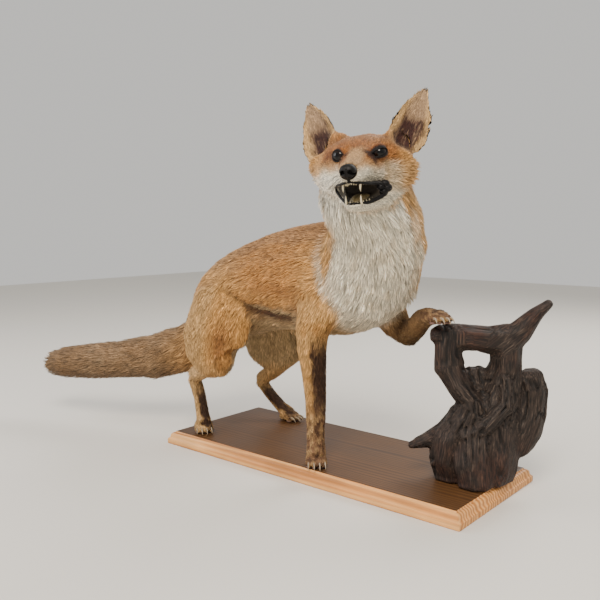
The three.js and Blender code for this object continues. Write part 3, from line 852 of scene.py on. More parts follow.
def leg_marks(field, part):
    """Golden, with a black streak down the front, mottled brown feet and painted shade on the undersides."""
    along = coat.along / MM
    drift, fine = field.drift, field.fine
    front_way, streak_from, foot_from, strength = LEG_STREAKS[part]
    pale = 0.55 if part.startswith("fore") else 0.8 * smooth(190, 150, field.z)
    # Painted shade: the undersides of the legs are darkened towards deep rust, which also drifts in at
    # random.
    painted_shade_below = 0.4 * smooth(-0.2, -0.9, field.normals[:, 2])
    leg = paint("golden",
                ("deep_rust", painted_shade_below + 0.3 * smooth(0.0, 0.8, drift)),
                ("straw", pale * smooth(0.7, -0.1, drift)))
    if part == "fore_left":
        # The left forearm is painted darker grey-brown: duller hair, and painted shade where it lies in
        # shadow.
        leg = paint(leg, ("grey_brown", 0.7 * smooth(30, 70, along)))
    if part.startswith("hind"):
        patch = np.exp(-(((field.x + 194) / 24) ** 2 + ((field.z - 224) / 42) ** 2))
        inner = field.facing((0, 1 if part == "hind_right" else -1, 0))
        leg = paint(leg,
                    ("buff", 0.7 * smooth(-215, -255, field.x)),
                    ("deep_rust", 0.85 * patch),
                    ("underfur", smooth(0.0, 0.5, inner) * smooth(120, 170, field.z) * 0.85))
    narrow = 0.4 if part.endswith("right") else 0.1
    ragged = field.facing(front_way) + 0.22 * drift + 0.16 * fine - narrow
    streak = smooth(0, 0.35, ragged) * smooth(0, 60, along - streak_from + 16 * drift)
    leg = paint(leg, ("stocking", streak * strength * 0.95))
    foot = smooth(0, 60, along - foot_from)
    mottled = paint("brown",
                    ("buff", 0.7 * smooth(-0.1, 0.5, fine)),
                    ("stocking", 0.6 * smooth(-0.1, -0.6, fine + 0.4 * drift)))
    return blend(leg, mottled, foot * (1 - 0.2 * streak))


def tail_marks(field):
    """Brown and grey hair mixed, golden at the root, darker towards the end, with painted shade underneath.
    """
    return paint("tail",
                 ("grey", 0.35 + 0.3 * field.drift),
                 # Painted shade: the underside of the tail is darkened.
                 ("stocking", 0.35 * smooth(-0.2, -0.8, field.normals[:, 2])),
                 ("golden", 0.5 * smooth(-390, -330, field.x)),
                 ("umber", 0.55 * smooth(-500, -620, field.x)),
                 ("cream", 0.2 * smooth(-665, -690, field.x)))


def markings():
    """The hair's middle and tip colours at every vertex of the skin."""
    field = Field()
    colour = (trunk_marks(field) * share_of("trunk")[:, None] + neck_marks(field) * share_of("neck")[:, None]
              + face_marks(field) * share_of("head")[:, None] + tail_marks(field) * share_of("tail")[:, None])
    for side in EAR_FACTS:
        colour += ear_marks(field, side) * share_of("ear_" + side)[:, None]
    for part in LEG_STREAKS:
        colour += leg_marks(field, part) * share_of(part)[:, None]
    # Tips: buff over the rust, dark on the tail, and none where the hair is dark or pale.
    bright = colour.mean(1)
    tips = paint(colour, ("buff", np.full(len(colour), 0.35)))
    tips = blend(tips, colour, smooth(0.35, 0.6, bright))
    tips = paint(tips, ("brown", 0.55 * share_of("tail") * smooth(-690, -620, field.x)))
    tips = blend(tips, colour, smooth(0.12, 0.04, bright))
    colour = paint(colour, ("black", np.clip(coat.rim + coat.nose, 0, 1)),
                   ("black", smooth(0.3, 0.7, coat.mouth) * 0.93))
    coat.colour = np.clip(colour, 0, 1)
    coat.tips = np.clip(tips, 0, 1)


markings()


# ---------------------------------------------------------------- locks of hair
skin.data.calc_loop_triangles()
skin_points = vertex_array(skin.data)
skin_normals = unit(relax(normal_array(skin.data), edge_array(skin.data), 2))
skin_triangles = read_array(skin.data.loop_triangles, "vertices", 3, np.int32)
corners = skin_points[skin_triangles]
triangle_area = np.linalg.norm(np.cross(corners[:, 1] - corners[:, 0], corners[:, 2] - corners[:, 0]),
                               axis=1) / 2
# How many locks gather into one tuft.
CLUMP = {"trunk": 7, "neck": 7, "tail": 8, "head": 4, "ear_left": 4, "ear_right": 4, "fore_right": 5,
         "fore_left": 5, "hind_right": 5, "hind_left": 5}


def sow(chosen, crowding):
    """Roots spread evenly over the chosen triangles, as a triangle and a place in it."""
    wanted = triangle_area[chosen] * 1e4 * crowding[chosen]
    ends = np.cumsum(wanted)
    count = int(ends[-1])
    spots = (np.arange(count) + dice.random(count)) / count * ends[-1]
    face = chosen[np.minimum(np.searchsorted(ends, spots), len(chosen) - 1)]
    first, second = dice.random((2, count))
    over = first + second > 1
    first[over], second[over] = 1 - first[over], 1 - second[over]
    return face, np.stack([1 - first - second, first, second], 1)


def at_roots(values, face, place):
    corners_of = values[skin_triangles[face]]
    if values.ndim == 1:
        return np.sum(corners_of * place, 1)
    return np.sum(corners_of * place[..., None], 1)


def lock_path(root, normal, lie, side, length, rise, droop, bend, part):
    lift = length * (rise * part - droop * part ** 2)
    return (root + lie * (length * part)[:, None] + normal * lift[:, None]
            + side * (length * bend * part ** 2)[:, None])


def lock_faces(ring_count):
    """One lock's triangles: a cap at its root, three sides between its rings, and its closed tip."""
    faces = [(0, 1, 2)]
    for k in range(ring_count - 1):
        for corner in range(3):
            a, b = 3 * k + corner, 3 * k + (corner + 1) % 3
            faces += [(a, a + 3, b + 3), (a, b + 3, b)]
    last, top = 3 * (ring_count - 1), 3 * ring_count
    faces += [(last + corner, top, last + (corner + 1) % 3) for corner in range(3)]
    return np.array(faces, np.int32)


def lock_unwrap(faces, steps):
    """Where the corners of one lock's triangles lie on its own patch: across it, then along it."""
    top = 3 * (len(steps) - 1)
    local = [(0.0, 0.0), (0.5, -0.12), (1.0, 0.0)]
    for index in faces[1:]:
        used = {vertex % 3 for vertex in index if vertex != top}
        wraps = used == {0, 2}
        for vertex in index:
            if vertex == top:
                across = 2.5 if wraps else sum(used) / len(used)
            else:
                across = 3 if wraps and vertex % 3 == 0 else vertex % 3
            local.append((across / 3, steps[vertex // 3]))
    return np.array(local)


LOCK_PATCH = 0.003          # how much of the unwrap each lock's own patch takes, as a share of its side


def grow_coat(name, part_names, region, rings):
    """One joined mesh of locks, each a thin closed spike that lies along the coat."""
    mine = np.isin(own_part, [PARTS.index(part) for part in part_names])[skin_triangles].sum(1) >= 2
    crowd = (coat.crowd * (1 - coat.bare))[skin_triangles].mean(1)
    face, place = sow(np.nonzero(mine & region(corners.mean(1)))[0], crowd)
    count = len(face)
    root = at_roots(skin_points, face, place)
    normal = unit(at_roots(skin_normals, face, place))
    lie = at_roots(coat.lie, face, place)
    lie = unit(lie - normal * np.sum(lie * normal, 1, keepdims=True))
    side = np.cross(normal, lie)
    length = at_roots(coat.length, face, place) * MM * dice.uniform(0.72, 1.22, count)
    depth = at_roots(coat.depth, face, place) * MM * dice.uniform(0.7, 1.05, count)
    width = at_roots(coat.width, face, place) * MM * dice.uniform(0.75, 1.3, count)
    turn = speckle(root, 0.02, 11) * 0.22 + dice.normal(0, 0.1, count)
    lie = unit(lie + side * turn[:, None])
    side = np.cross(normal, lie)
    share_up = np.clip(depth / length, 0.02, 0.9)
    rise = share_up * 1.9
    droop = rise - share_up
    bend = dice.normal(0, 0.1, count)
    colour = at_roots(coat.colour, face, place)
    tips = at_roots(coat.tips, face, place)
    # Locks are drawn together in tufts around every few of them.
    step = CLUMP[part_names[0]]
    leaders = dice.permutation(count)[:max(1, count // step)]
    tree = kdtree.KDTree(len(leaders))
    for k, leader in enumerate(leaders):
        tree.insert(root[leader], k)
    tree.balance()
    leader = leaders[np.array([tree.find(spot)[1] for spot in root])]
    shade = dice.normal(0, 0.13, count)[leader] + dice.normal(0, 0.25, count)
    tip_shade = dice.uniform(0, 1, count)[leader]
    pull = dice.uniform(0.1, 0.5, count)
    # Rings of three points and a closing tip.
    per_lock = len(rings) * 3 + 1
    points = np.empty((count, per_lock, 3))
    tone = np.empty((count, per_lock, 4))
    shading = np.empty((count, per_lock, 3))
    tone[..., 3] = 1
    own = (root, normal, lie, side, length, rise, droop, bend)
    led = tuple(values[leader] for values in own)
    steps = [*rings, 1.0]
    for k, part in enumerate(steps):
        path = lock_path(*own, part)
        other = lock_path(*led, part)
        gather = (pull * part ** 1.3)[:, None]
        path = path + (other - path) * gather
        half = width * (0.5 * (1 - part ** 2.2) + 0.12 * (part < 0.99))
        # Each lock is darker towards its root: the greyer underfur, and painted shade deep in the coat.
        flat = np.clip(part * 1.6, 0, 1)
        colour_here = blend(colour * (0.5 + 0.5 * flat), tips, np.full(count, max(0, part - 0.45) * 1.5)
                            * (0.35 + 0.65 * tip_shade))
        colour_here = colour_here * np.exp(shade)[:, None]
        normal_here = unit(normal + lie * 0.25)
        if part == 1.0:
            points[:, -1] = path
            tone[:, -1, :3] = colour_here
            shading[:, -1] = normal_here
            continue
        if k == 0:
            path = path - normal * 0.5 * MM
        for corner, (across, over) in enumerate(((-1, 0), (0, 0.55), (1, 0))):
            moved = path + side * (half * across)[:, None] + normal * (half * over)[:, None]
            points[:, 3 * k + corner] = moved
            tone[:, 3 * k + corner, :3] = colour_here
            shading[:, 3 * k + corner] = unit(normal_here + side * across * 0.75)
    faces = lock_faces(len(rings))
    loops = (faces[None] + (np.arange(count, dtype=np.int32) * per_lock)[:, None, None]).reshape(-1)
    mesh = bpy.data.meshes.new(name)
    mesh.vertices.add(count * per_lock)
    write_array(mesh.vertices, "co", points)
    mesh.loops.add(len(loops))
    mesh.loops.foreach_set("vertex_index", loops)
    total = count * len(faces)
    mesh.polygons.add(total)
    mesh.polygons.foreach_set("loop_start", np.arange(0, total * 3, 3, dtype=np.int32))
    mesh.polygons.foreach_set("use_smooth", np.ones(total, bool))
    # Each lock's own small patch, at its root's place on an unwrap of the skin.
    along = at_roots(coat.along, face, place)
    angle = coat.around[skin_triangles[face, 0]]
    along = (along - along.min()) / max(np.ptp(along), 1e-6)
    spot = np.stack([0.01 + 0.975 * along, 0.01 + 0.975 * (angle / (2 * math.pi) + 0.5)], 1)
    uv = spot[:, None] + (lock_unwrap(faces, steps) * LOCK_PATCH)[None]
    write_array(mesh.uv_layers.new(name="OFBake").data, "uv", uv)
    write_array(mesh.color_attributes.new("pigment", "FLOAT_COLOR", "POINT").data, "color", tone)
    mesh.update()
    mesh.normals_split_custom_set_from_vertices(shading.reshape(-1, 3).astype(np.float32))
    return new_object(name, mesh)


LONG = (0.0, 0.38, 0.74)
SHORT = (0.0, 0.55)


def everywhere(points):
    return np.ones(len(points), bool)


coats = [
    grow_coat("coat_shoulder", ["trunk"], lambda p: p[:, 0] > 10 * MM, LONG),
    grow_coat("coat_flank", ["trunk"], lambda p: (p[:, 0] <= 10 * MM) & (p[:, 0] > -140 * MM), LONG),
    grow_coat("coat_rump", ["trunk"], lambda p: p[:, 0] <= -140 * MM, LONG),
    grow_coat("coat_neck", ["neck"], everywhere, LONG),
    grow_coat("coat_tail_root", ["tail"], lambda p: p[:, 0] > -500 * MM, LONG),
    grow_coat("coat_tail_tip", ["tail"], lambda p: p[:, 0] <= -500 * MM, LONG),
    grow_coat("coat_head", ["head"], everywhere, SHORT),
    grow_coat("coat_ears", ["ear_left", "ear_right"], everywhere, SHORT),
    grow_coat("coat_forelegs", ["fore_right", "fore_left"], everywhere, SHORT),
    grow_coat("coat_hind_right", ["hind_right"], everywhere, SHORT),
    grow_coat("coat_hind_left", ["hind_left"], everywhere, SHORT),
]


# ---------------------------------------------------------------- materials
def make_fur():
    """Fox hair: smooth keratin shafts, so a soft broad gleam along the lie and a pale edge to the light."""
    material, tree, shader = new_material("fox_hair", "#AE6C35", Roughness=0.62, Specular_IOR_Level=0.16,
                                          Sheen_Weight=0.05, Sheen_Roughness=0.5)
    pigment = node(tree, "ShaderNodeAttribute", [("attribute_name", "pigment")])
    where = node(tree, "ShaderNodeTexCoord")
    # Shades in the coat about 9 mm across.
    patches = node(tree, "ShaderNodeTexNoise", [("Scale", 110.0), ("Detail", 3.0)],
                   Vector=where.outputs["Object"])
    shade = node(tree, "ShaderNodeMapRange", [("To Min", 0.8), ("To Max", 1.18)],
                 Value=patches.outputs["Fac"])
    colour = node(tree, "ShaderNodeVectorMath", [("operation", "MULTIPLY")])
    tree.links.new(pigment.outputs["Color"], colour.inputs[0])
    tree.links.new(shade.outputs["Result"], colour.inputs[1])
    # Single hairs are 0.05 mm; they are drawn 0.5 mm wide so that they show.
    strands = node(tree, "ShaderNodeTexNoise", [("Scale", 1900.0), ("Detail", 2.0)],
                   Vector=where.outputs["Object"])
    bump = node(tree, "ShaderNodeBump", [("Strength", 0.35), ("Distance", 0.0004)],
                Height=strands.outputs["Fac"])
    wire(tree, shader, colour.outputs["Vector"], bump)
    return material


def make_skin():
    """Dressed skin seen between the hairs: the same markings, matt, darker with underfur and painted shade.
    """
    material, tree, shader = new_material("fox_skin", "#8A5029", Roughness=0.7, Specular_IOR_Level=0.25)
    pigment = node(tree, "ShaderNodeAttribute", [("attribute_name", "pigment")])
    lay = node(tree, "ShaderNodeAttribute", [("attribute_name", "lay")])
    stretched = node(tree, "ShaderNodeMapping", [("vector_type", "POINT"), ("Scale", (0.12, 1.0, 1.0))],
                     Vector=lay.outputs["Vector"])
    # Short hairs drawn 1 mm wide and 8 mm long, along the lie.
    hairs = node(tree, "ShaderNodeTexNoise", [("Scale", 950.0), ("Detail", 3.0)], Vector=stretched.outputs[0])
    shade = node(tree, "ShaderNodeMapRange", [("From Min", 0.3), ("From Max", 0.7), ("To Min", 0.62),
                                              ("To Max", 1.05)], Value=hairs.outputs["Fac"])
    colour = node(tree, "ShaderNodeVectorMath", [("operation", "MULTIPLY")])
    tree.links.new(pigment.outputs["Color"], colour.inputs[0])
    tree.links.new(shade.outputs["Result"], colour.inputs[1])
    bump = node(tree, "ShaderNodeBump", [("Strength", 0.6), ("Distance", 0.0006)],
                Height=hairs.outputs["Fac"])
    wire(tree, shader, colour.outputs["Vector"], bump)
    return material


fur_material = make_fur()
skin_material = make_skin()


def finish_skin():
    mesh = skin.data
    tone = np.concatenate([coat.colour, np.ones((len(coat.colour), 1))], 1)
    write_array(mesh.color_attributes.new("pigment", "FLOAT_COLOR", "POINT").data, "color", tone)
    write_array(mesh.attributes.new("lay", "FLOAT_VECTOR", "POINT").data, "vector", coat.beside)
    # The face, ears and lids keep their fine faces; the rest of the skin under the coat needs fewer.
    group = skin.vertex_groups.new(name="plain")
    fine = share_of("head", "ear_left", "ear_right") + coat.rim
    plain = np.nonzero(fine < 0.3)[0]
    group.add([int(k) for k in plain], 1.0, "REPLACE")
    thin = skin.modifiers.new("thin", "DECIMATE")
    thin.ratio = 0.45
    thin.vertex_group = "plain"
    apply_modifiers(skin)
    skin.data.materials.clear()
    skin.data.materials.append(skin_material)


finish_skin()
hand_over(skin, "rust_fur", *FLESH)
COAT_SLOTS = {"coat_neck": "cream_fur", "coat_tail_root": "grey_fur", "coat_tail_tip": "grey_fur",
              "coat_forelegs": "stocking_fur", "coat_hind_right": "buff_fur", "coat_hind_left": "buff_fur"}
for piece in coats:
    piece.data.materials.append(fur_material)
    hand_over(piece, COAT_SLOTS.get(piece.name, "rust_fur"))


# ---------------------------------------------------------------- eyes
def make_eye_glass():
    """A cast glass eye: near-black iris behind a clear dome, so one sharp highlight."""
    material, tree, shader = new_material("glass_eye", "#120A06", Roughness=0.05, IOR=1.36)
    across = node(tree, "ShaderNodeAttribute", [("attribute_name", "iris")])
    colour = ramp(tree, across.outputs["Fac"], [(0.0, "#030202"), (0.4, "#040303"), (0.48, "#150B06"),
                                                (0.66, "#1C0F08"), (0.74, "#060404"), (1.0, "#050303")])
    wire(tree, shader, colour)
    return material


eye_material = make_eye_glass()


def build_eye(side):
    facts = EYES[side]
    axes = Matrix(eye_axes(side).tolist())
    shape = bmesh.new()
    bmesh.ops.create_uvsphere(shape, u_segments=48, v_segments=32, radius=EYE_RADIUS)
    iris = shape.verts.layers.float.new("iris")
    for vertex in shape.verts:
        local = vertex.co.copy()
        flat = math.hypot(local.x, local.y)
        front = local.z > 0
        # The clear dome swells a little over the iris.
        if front and flat < 0.62 * EYE_RADIUS:
            rise = 1 - (flat / (0.62 * EYE_RADIUS)) ** 2
            vertex.co += local.normalized() * 0.8 * MM * rise * rise
        vertex[iris] = min(1.0, flat / EYE_RADIUS) if front else 1.0
    # The sphere's own pole looks along the gaze.
    turn = Matrix((axes[1], axes[2], axes[0])).transposed()
    bmesh.ops.transform(shape, matrix=turn.to_4x4(), verts=shape.verts)
    bmesh.ops.translate(shape, vec=facts["centre"], verts=shape.verts)
    close_up(shape, "eyeball_" + side, eye_material, "eye_glass", "eye_" + side)


for side in EYES:
    build_eye(side)


# ---------------------------------------------------------------- tubes, for lips, teeth, claws and whiskers
def tube(shape, path, radii, sides=10, squash=1.0, across=None):
    """Adds a closed tube along a path of points; squash flattens it along the second way."""
    path = [Vector(point) for point in path]
    rings = []
    for k, point in enumerate(path):
        tangent = (path[min(k + 1, len(path) - 1)] - path[max(k - 1, 0)]).normalized()
        first = Vector(across or (0, 0, 1))
        first = (first - tangent * first.dot(tangent)).normalized()
        second = tangent.cross(first)
        ring = []
        for step in range(sides):
            turn = 2 * math.pi * step / sides
            out = first * math.cos(turn) + second * (math.sin(turn) * squash)
            ring.append(shape.verts.new(point + out * radii[k]))
        rings.append([shape.edges.new((ring[step], ring[(step + 1) % sides])) for step in range(sides)])
    for low, high in zip(rings, rings[1:]):
        bmesh.ops.bridge_loops(shape, edges=low + high)
    for ring in (rings[0], rings[-1]):
        bmesh.ops.holes_fill(shape, edges=ring)


def spline(points, count):
    """Points evenly spaced by parameter along a smooth curve through the given ones."""
    points = [Vector(point) for point in points]
    stretched = [points[0] * 2 - points[1]] + points + [points[-1] * 2 - points[-2]]
    made = []
    for step in range(count):
        t = step / (count - 1) * (len(points) - 1)
        k = min(int(t), len(points) - 2)
        part = t - k
        a, b, c, d = stretched[k:k + 4]
        made.append(0.5 * (2 * b + (c - a) * part + (2 * a - 5 * b + 4 * c - d) * part ** 2
                           + (3 * b - a - 3 * c + d) * part ** 3))
    return made


def simple_material(name, code, roughness, bump_size=None, depth=0.0002, spread=0.25, specular=0.5):
    """A plain finish: one colour that drifts a little, with fine bumps of a given size in millimetres."""
    material, tree, shader = new_material(name, code, Roughness=roughness, Specular_IOR_Level=specular)
    where = node(tree, "ShaderNodeTexCoord")
    drift = node(tree, "ShaderNodeTexNoise", [("Scale", 160.0), ("Detail", 4.0)],
                 Vector=where.outputs["Object"])
    shade = node(tree, "ShaderNodeMapRange", [("To Min", 1 - spread), ("To Max", 1 + spread)],
                 Value=drift.outputs["Fac"])
    colour = node(tree, "ShaderNodeVectorMath", [("operation", "SCALE"), (0, tuple(linear(code)))],
                  Scale=shade.outputs["Result"])
    bump = None
    if bump_size:
        pebbles = node(tree, "ShaderNodeTexVoronoi", [("Scale", 1000 / bump_size)],
                       Vector=where.outputs["Object"])
        bump = node(tree, "ShaderNodeBump", [("Strength", 0.5), ("Distance", depth)],
                    Height=pebbles.outputs["Distance"])
    wire(tree, shader, colour.outputs["Vector"], bump)
    return material


# Waxed nose leather: black, pebbled skin with a damp gleam.
nose_material = simple_material("nose_leather", "#080605", 0.5, 1.0, 0.0003, specular=0.22)
# Painted lips: black skin, smooth and slightly damp.
lip_material = simple_material("lip_skin", "#080606", 0.5, 0.9, 0.0003, specular=0.2)
# Tooth enamel, yellowed.
tooth_material = simple_material("tooth_enamel", "#CDBF9C", 0.32, None, spread=0.2)
# The tongue is cast and tinted an olive tan, dull with fine bumps.
tongue_material = simple_material("cast_tongue", "#6A5C3A", 0.5, 0.8)
# Claws are horn: brown-grey, with a soft gleam.
claw_material = simple_material("claw_horn", "#9C8B73", 0.4, None, spread=0.45)
# Whiskers are stiff black hairs.
whisker_material = simple_material("whisker_hair", "#1C1613", 0.5, None)
# Toe pads are dry leathery skin.
pad_material = simple_material("paw_pad", "#6E5248", 0.75, 0.9)


# ---------------------------------------------------------------- nose
def build_nose():
    """A rounded pad with comma nostrils open to the sides and a groove down its middle."""
    shape = bmesh.new()
    bmesh.ops.create_icosphere(shape, subdivisions=5, radius=1.0)
    for vertex in shape.verts:
        f, l, u = vertex.co
        flat_front = 0.1 * max(0, f) ** 2
        wide = 1.0 - 0.4 * max(0, -u) ** 1.5 + 0.06 * max(0, u)
        place = Vector((f * (12 - flat_front * 8), l * 12.2 * wide, u * 10.8))
        # Nostrils: a round pit that runs out to the side.
        for sign in (-1, 1):
            pit = math.hypot((l * sign - 0.42) / 0.26, (u + 0.08) / 0.24)
            slit = math.hypot((l * sign - 0.74) / 0.32, (u + 0.28) / 0.12)
            near = min(pit, slit)
            if f > 0 and near < 1.25:
                place -= Vector((7, 0, 0)) * (1 - smooth(0.55, 1.25, np.array(near)))
        groove = math.exp(-(l / 0.07) ** 2)
        if f > 0:
            place.x -= 1.3 * groove * (1 if u < 0.35 else 0.3)
        vertex.co = on_head(117 + place.x, place.y, -25 + place.z)
    close_up(shape, "nose_pad", nose_material, "nose_leather", "nose")


build_nose()


# ---------------------------------------------------------------- mouth
def build_lips():
    """Black lip edges of the upper and lower jaw, joined by a swollen fold at each corner."""
    shape = bmesh.new()
    lips = (                # forward, left, up along each lip; half thickness in front and at the corner
        ([(114, 1, -39), (108, 10, -41), (99, 16, -42), (88, 21, -43), (74, 27, -44), (62, 33, -46),
          (54, 37, -49), (51, 38, -54)], 1.7, 4.2),
        ([(104, 1, -69.5), (98, 8, -70.5), (88, 14.5, -70.5), (76, 21, -69), (65, 29, -65), (56, 36, -60),
          (51, 38, -54)], 1.9, 4.0),
        ([(114, -1, -39), (108, -11, -41), (98, -18, -42), (84, -24.5, -43), (70, -31, -44), (61, -36, -47),
          (57, -37, -52)], 1.7, 2.4),
        ([(104, -1, -69.5), (98, -8, -70.5), (86, -14.5, -69.5), (74, -22, -66), (64, -30, -60),
          (57, -37, -52)], 1.9, 2.4),
    )
    count = 28
    for route, front, corner in lips:
        path = spline([on_head(*place) for place in route], count)
        widths = [(front + (corner - front) * (k / (count - 1)) ** 1.6) * MM for k in range(count)]
        tube(shape, path, widths, 12, 0.75)
    # The groove below the nose is bare too.
    tube(shape, spline([on_head(120, 0, -31), on_head(117, 0, -35.5), on_head(114, 0, -40)], 7),
         [2.6 * MM] * 7, 10, 0.8)
    # Folds of bare lip puckered at the left corner.
    for f, l, u, size in ((56, 36, -46, 7.4), (53, 38, -52, 8.2), (57, 34, -57, 6.6), (63, 31, -50, 5.6)):
        fold = bmesh.ops.create_icosphere(shape, subdivisions=3, radius=size * MM)["verts"]
        bmesh.ops.scale(shape, vec=(1.0, 1.0, 0.8), verts=fold)
        bmesh.ops.translate(shape, vec=on_head(f, l, u), verts=fold)
    close_up(shape, "lips", lip_material, "nose_leather")


def build_teeth():
    shape = bmesh.new()

    def tooth(forward, left, root_up, tip_up, radius, curve=0.5):
        rise = tip_up - root_up
        path = []
        for part in (-0.15, 0.0, 0.25, 0.5, 0.75, 0.92, 1.0):
            bow = curve * radius * (math.sin(2.4 * part) - 0.4 * part)
            path.append(on_head(forward + bow, left, root_up + rise * part))
        widths = [radius * MM * part for part in (0.95, 1.0, 0.92, 0.72, 0.46, 0.24, 0.08)]
        tube(shape, path, widths, 10, 0.8, tuple(head_forward))

    for sign in (-1, 1):
        tooth(102, sign * 12.5, -42, -53.5, 2.3, 1.2)
        tooth(97, sign * 11, -70, -58, 2.2, 1.0)
        for k in range(3):
            tooth(109 - k * 1.3, sign * (1.7 + k * 3.0), -41.5, -43.9 - 0.4 * k, 1.2)
            tooth(101 - k, sign * (1.4 + k * 2.5), -70, -67.4, 1.1)
        for k in range(4):
            tooth(86 - k * 8.5, sign * (12.5 + k * 1.8), -42.5, -45.2 - 0.4 * k, 1.8 + 0.3 * k, 0.3)
            tooth(80 - k * 8.5, sign * (9.5 + k * 2.2), -69.5, -66.4 + 0.9 * k, 1.7 + 0.3 * k, 0.3)
    close_up(shape, "teeth", tooth_material, "cream_fur")


def build_tongue():
    shape = bmesh.new()
    bmesh.ops.create_icosphere(shape, subdivisions=4, radius=1.0)
    for vertex in shape.verts:
        f, l, u = vertex.co
        taper = 1 - 0.28 * f
        groove = math.exp(-(l / 0.22) ** 2) * 1.2 * (u > 0)
        vertex.co = on_head(66 + 27 * f, 12 * l * taper, -64 + 5.5 * u - groove - 3.5 * f)
    close_up(shape, "tongue_cast", tongue_material, "tongue", "tongue")


def build_whiskers():
    shape = bmesh.new()
    whisker_dice = np.random.default_rng(3)
    for sign in (-1, 1):
        for row in range(3):
            for k in range(3):
                f = 97 - 11 * k
                l = sign * (15.5 + 3.2 * k)
                u = -27 - 4.2 * row
                length = 34 + 7 * k + whisker_dice.uniform(-5, 8)
                drop = -0.25 - 0.2 * row + whisker_dice.uniform(-0.1, 0.1)
                out = Vector((-0.35 - 0.1 * k, sign * 0.95, drop))
                out.normalize()
                path = []
                for step in range(7):
                    part = step / 6
                    reach = out * length * part + Vector((-0.25, 0, -0.3)) * length * part ** 2 * 0.55
                    path.append(on_head(f + reach.x, l + reach.y, u + reach.z))
                tube(shape, path, [0.22 * MM * (1 - 0.8 * step / 6) for step in range(7)], 4)
    close_up(shape, "whiskers", whisker_material, "stocking_fur")


build_lips()
build_teeth()
build_tongue()
build_whiskers()


# ---------------------------------------------------------------- claws and pads
DECK = 25.3
FEET = {                  # heel x and y, the way it points, reach of the toes, level of the sole, tilt
    "fore_right": ((30, -97), -48, 30, DECK, 0),
    "fore_left": ((226, -40), -34, 30, 284, 4),
    "hind_right": ((-272, -84), -38, 28, DECK, 0),
    "hind_left": ((-194, 84), 2, 28, DECK, 0),
}
TOES = ((-1.5, 0.82), (-0.5, 1), (0.5, 1), (1.5, 0.82))     # each toe's lane, and its share of the reach


def foot_place(foot):
    (x, y), yaw, reach, sole, tilt = FEET[foot]
    yaw = math.radians(yaw)
    forward = Vector((math.cos(yaw), math.sin(yaw), math.tan(math.radians(tilt))))
    left = Vector((-forward.y, forward.x, 0)).normalized()
    start = Vector((x, y, sole))
    return lambda f, l, u: (start + forward * f + left * l + Vector((0, 0, u))) * MM


def build_claws():
    shape = bmesh.new()
    for foot, facts in FEET.items():
        at = foot_place(foot)
        reach = facts[2]
        for lane, spread in TOES:
            end = reach * spread
            path = [at(end * 0.8, lane * 9.4, 9.5), at(end + 3, lane * 9.5, 9.6),
                    at(end + 7, lane * 9.7, 7.8), at(end + 10, lane * 9.8, 5.0),
                    at(end + 12, lane * 9.9, 1.6)]
            path = spline(path, 11)
            widths = [2.3 * MM * (1 - (k / 10) ** 1.6 * 0.93) for k in range(11)]
            tube(shape, path, widths, 10, 0.62)
    close_up(shape, "claws", claw_material, "stocking_fur")


def build_pads():
    """Bare pads under the toes and the ball of each foot."""
    shape = bmesh.new()
    for foot, facts in FEET.items():
        at = foot_place(foot)
        reach = facts[2]
        spots = [(reach * spread * 0.72, lane * 9.2, 2.6, 6.5, 4.2) for lane, spread in TOES]
        spots.append((-3, 0, 3.0, 9.5, 9.5))
        for f, l, u, long, wide in spots:
            made = bmesh.ops.create_icosphere(shape, subdivisions=3, radius=1.0)["verts"]
            for vertex in made:
                a, b, c = vertex.co
                vertex.co = at(f + a * long, l + b * wide, u + c * 2.5)
    close_up(shape, "paw_pads", pad_material, "stocking_fur")


build_claws()
build_pads()


# ---------------------------------------------------------------- base board
BOARD_LENGTH = 650 * MM
BOARD_WIDTH = 267 * MM
BOARD_PROFILE = [           # inset from the outer edge and height: a cove under a rounded top edge
    (1.5, 0), (0.4, 0.4), (0, 1.5), (0, 9), (0.5, 10.2), (2, 11), (3.1, 12.2), (4, 14), (4.5, 17), (5, 18.8),
    (6, 20), (7.4, 21.3), (9, 22), (11, 22.3), (11.6, 23.6), (12.4, 24.6), (13.5, 25)]


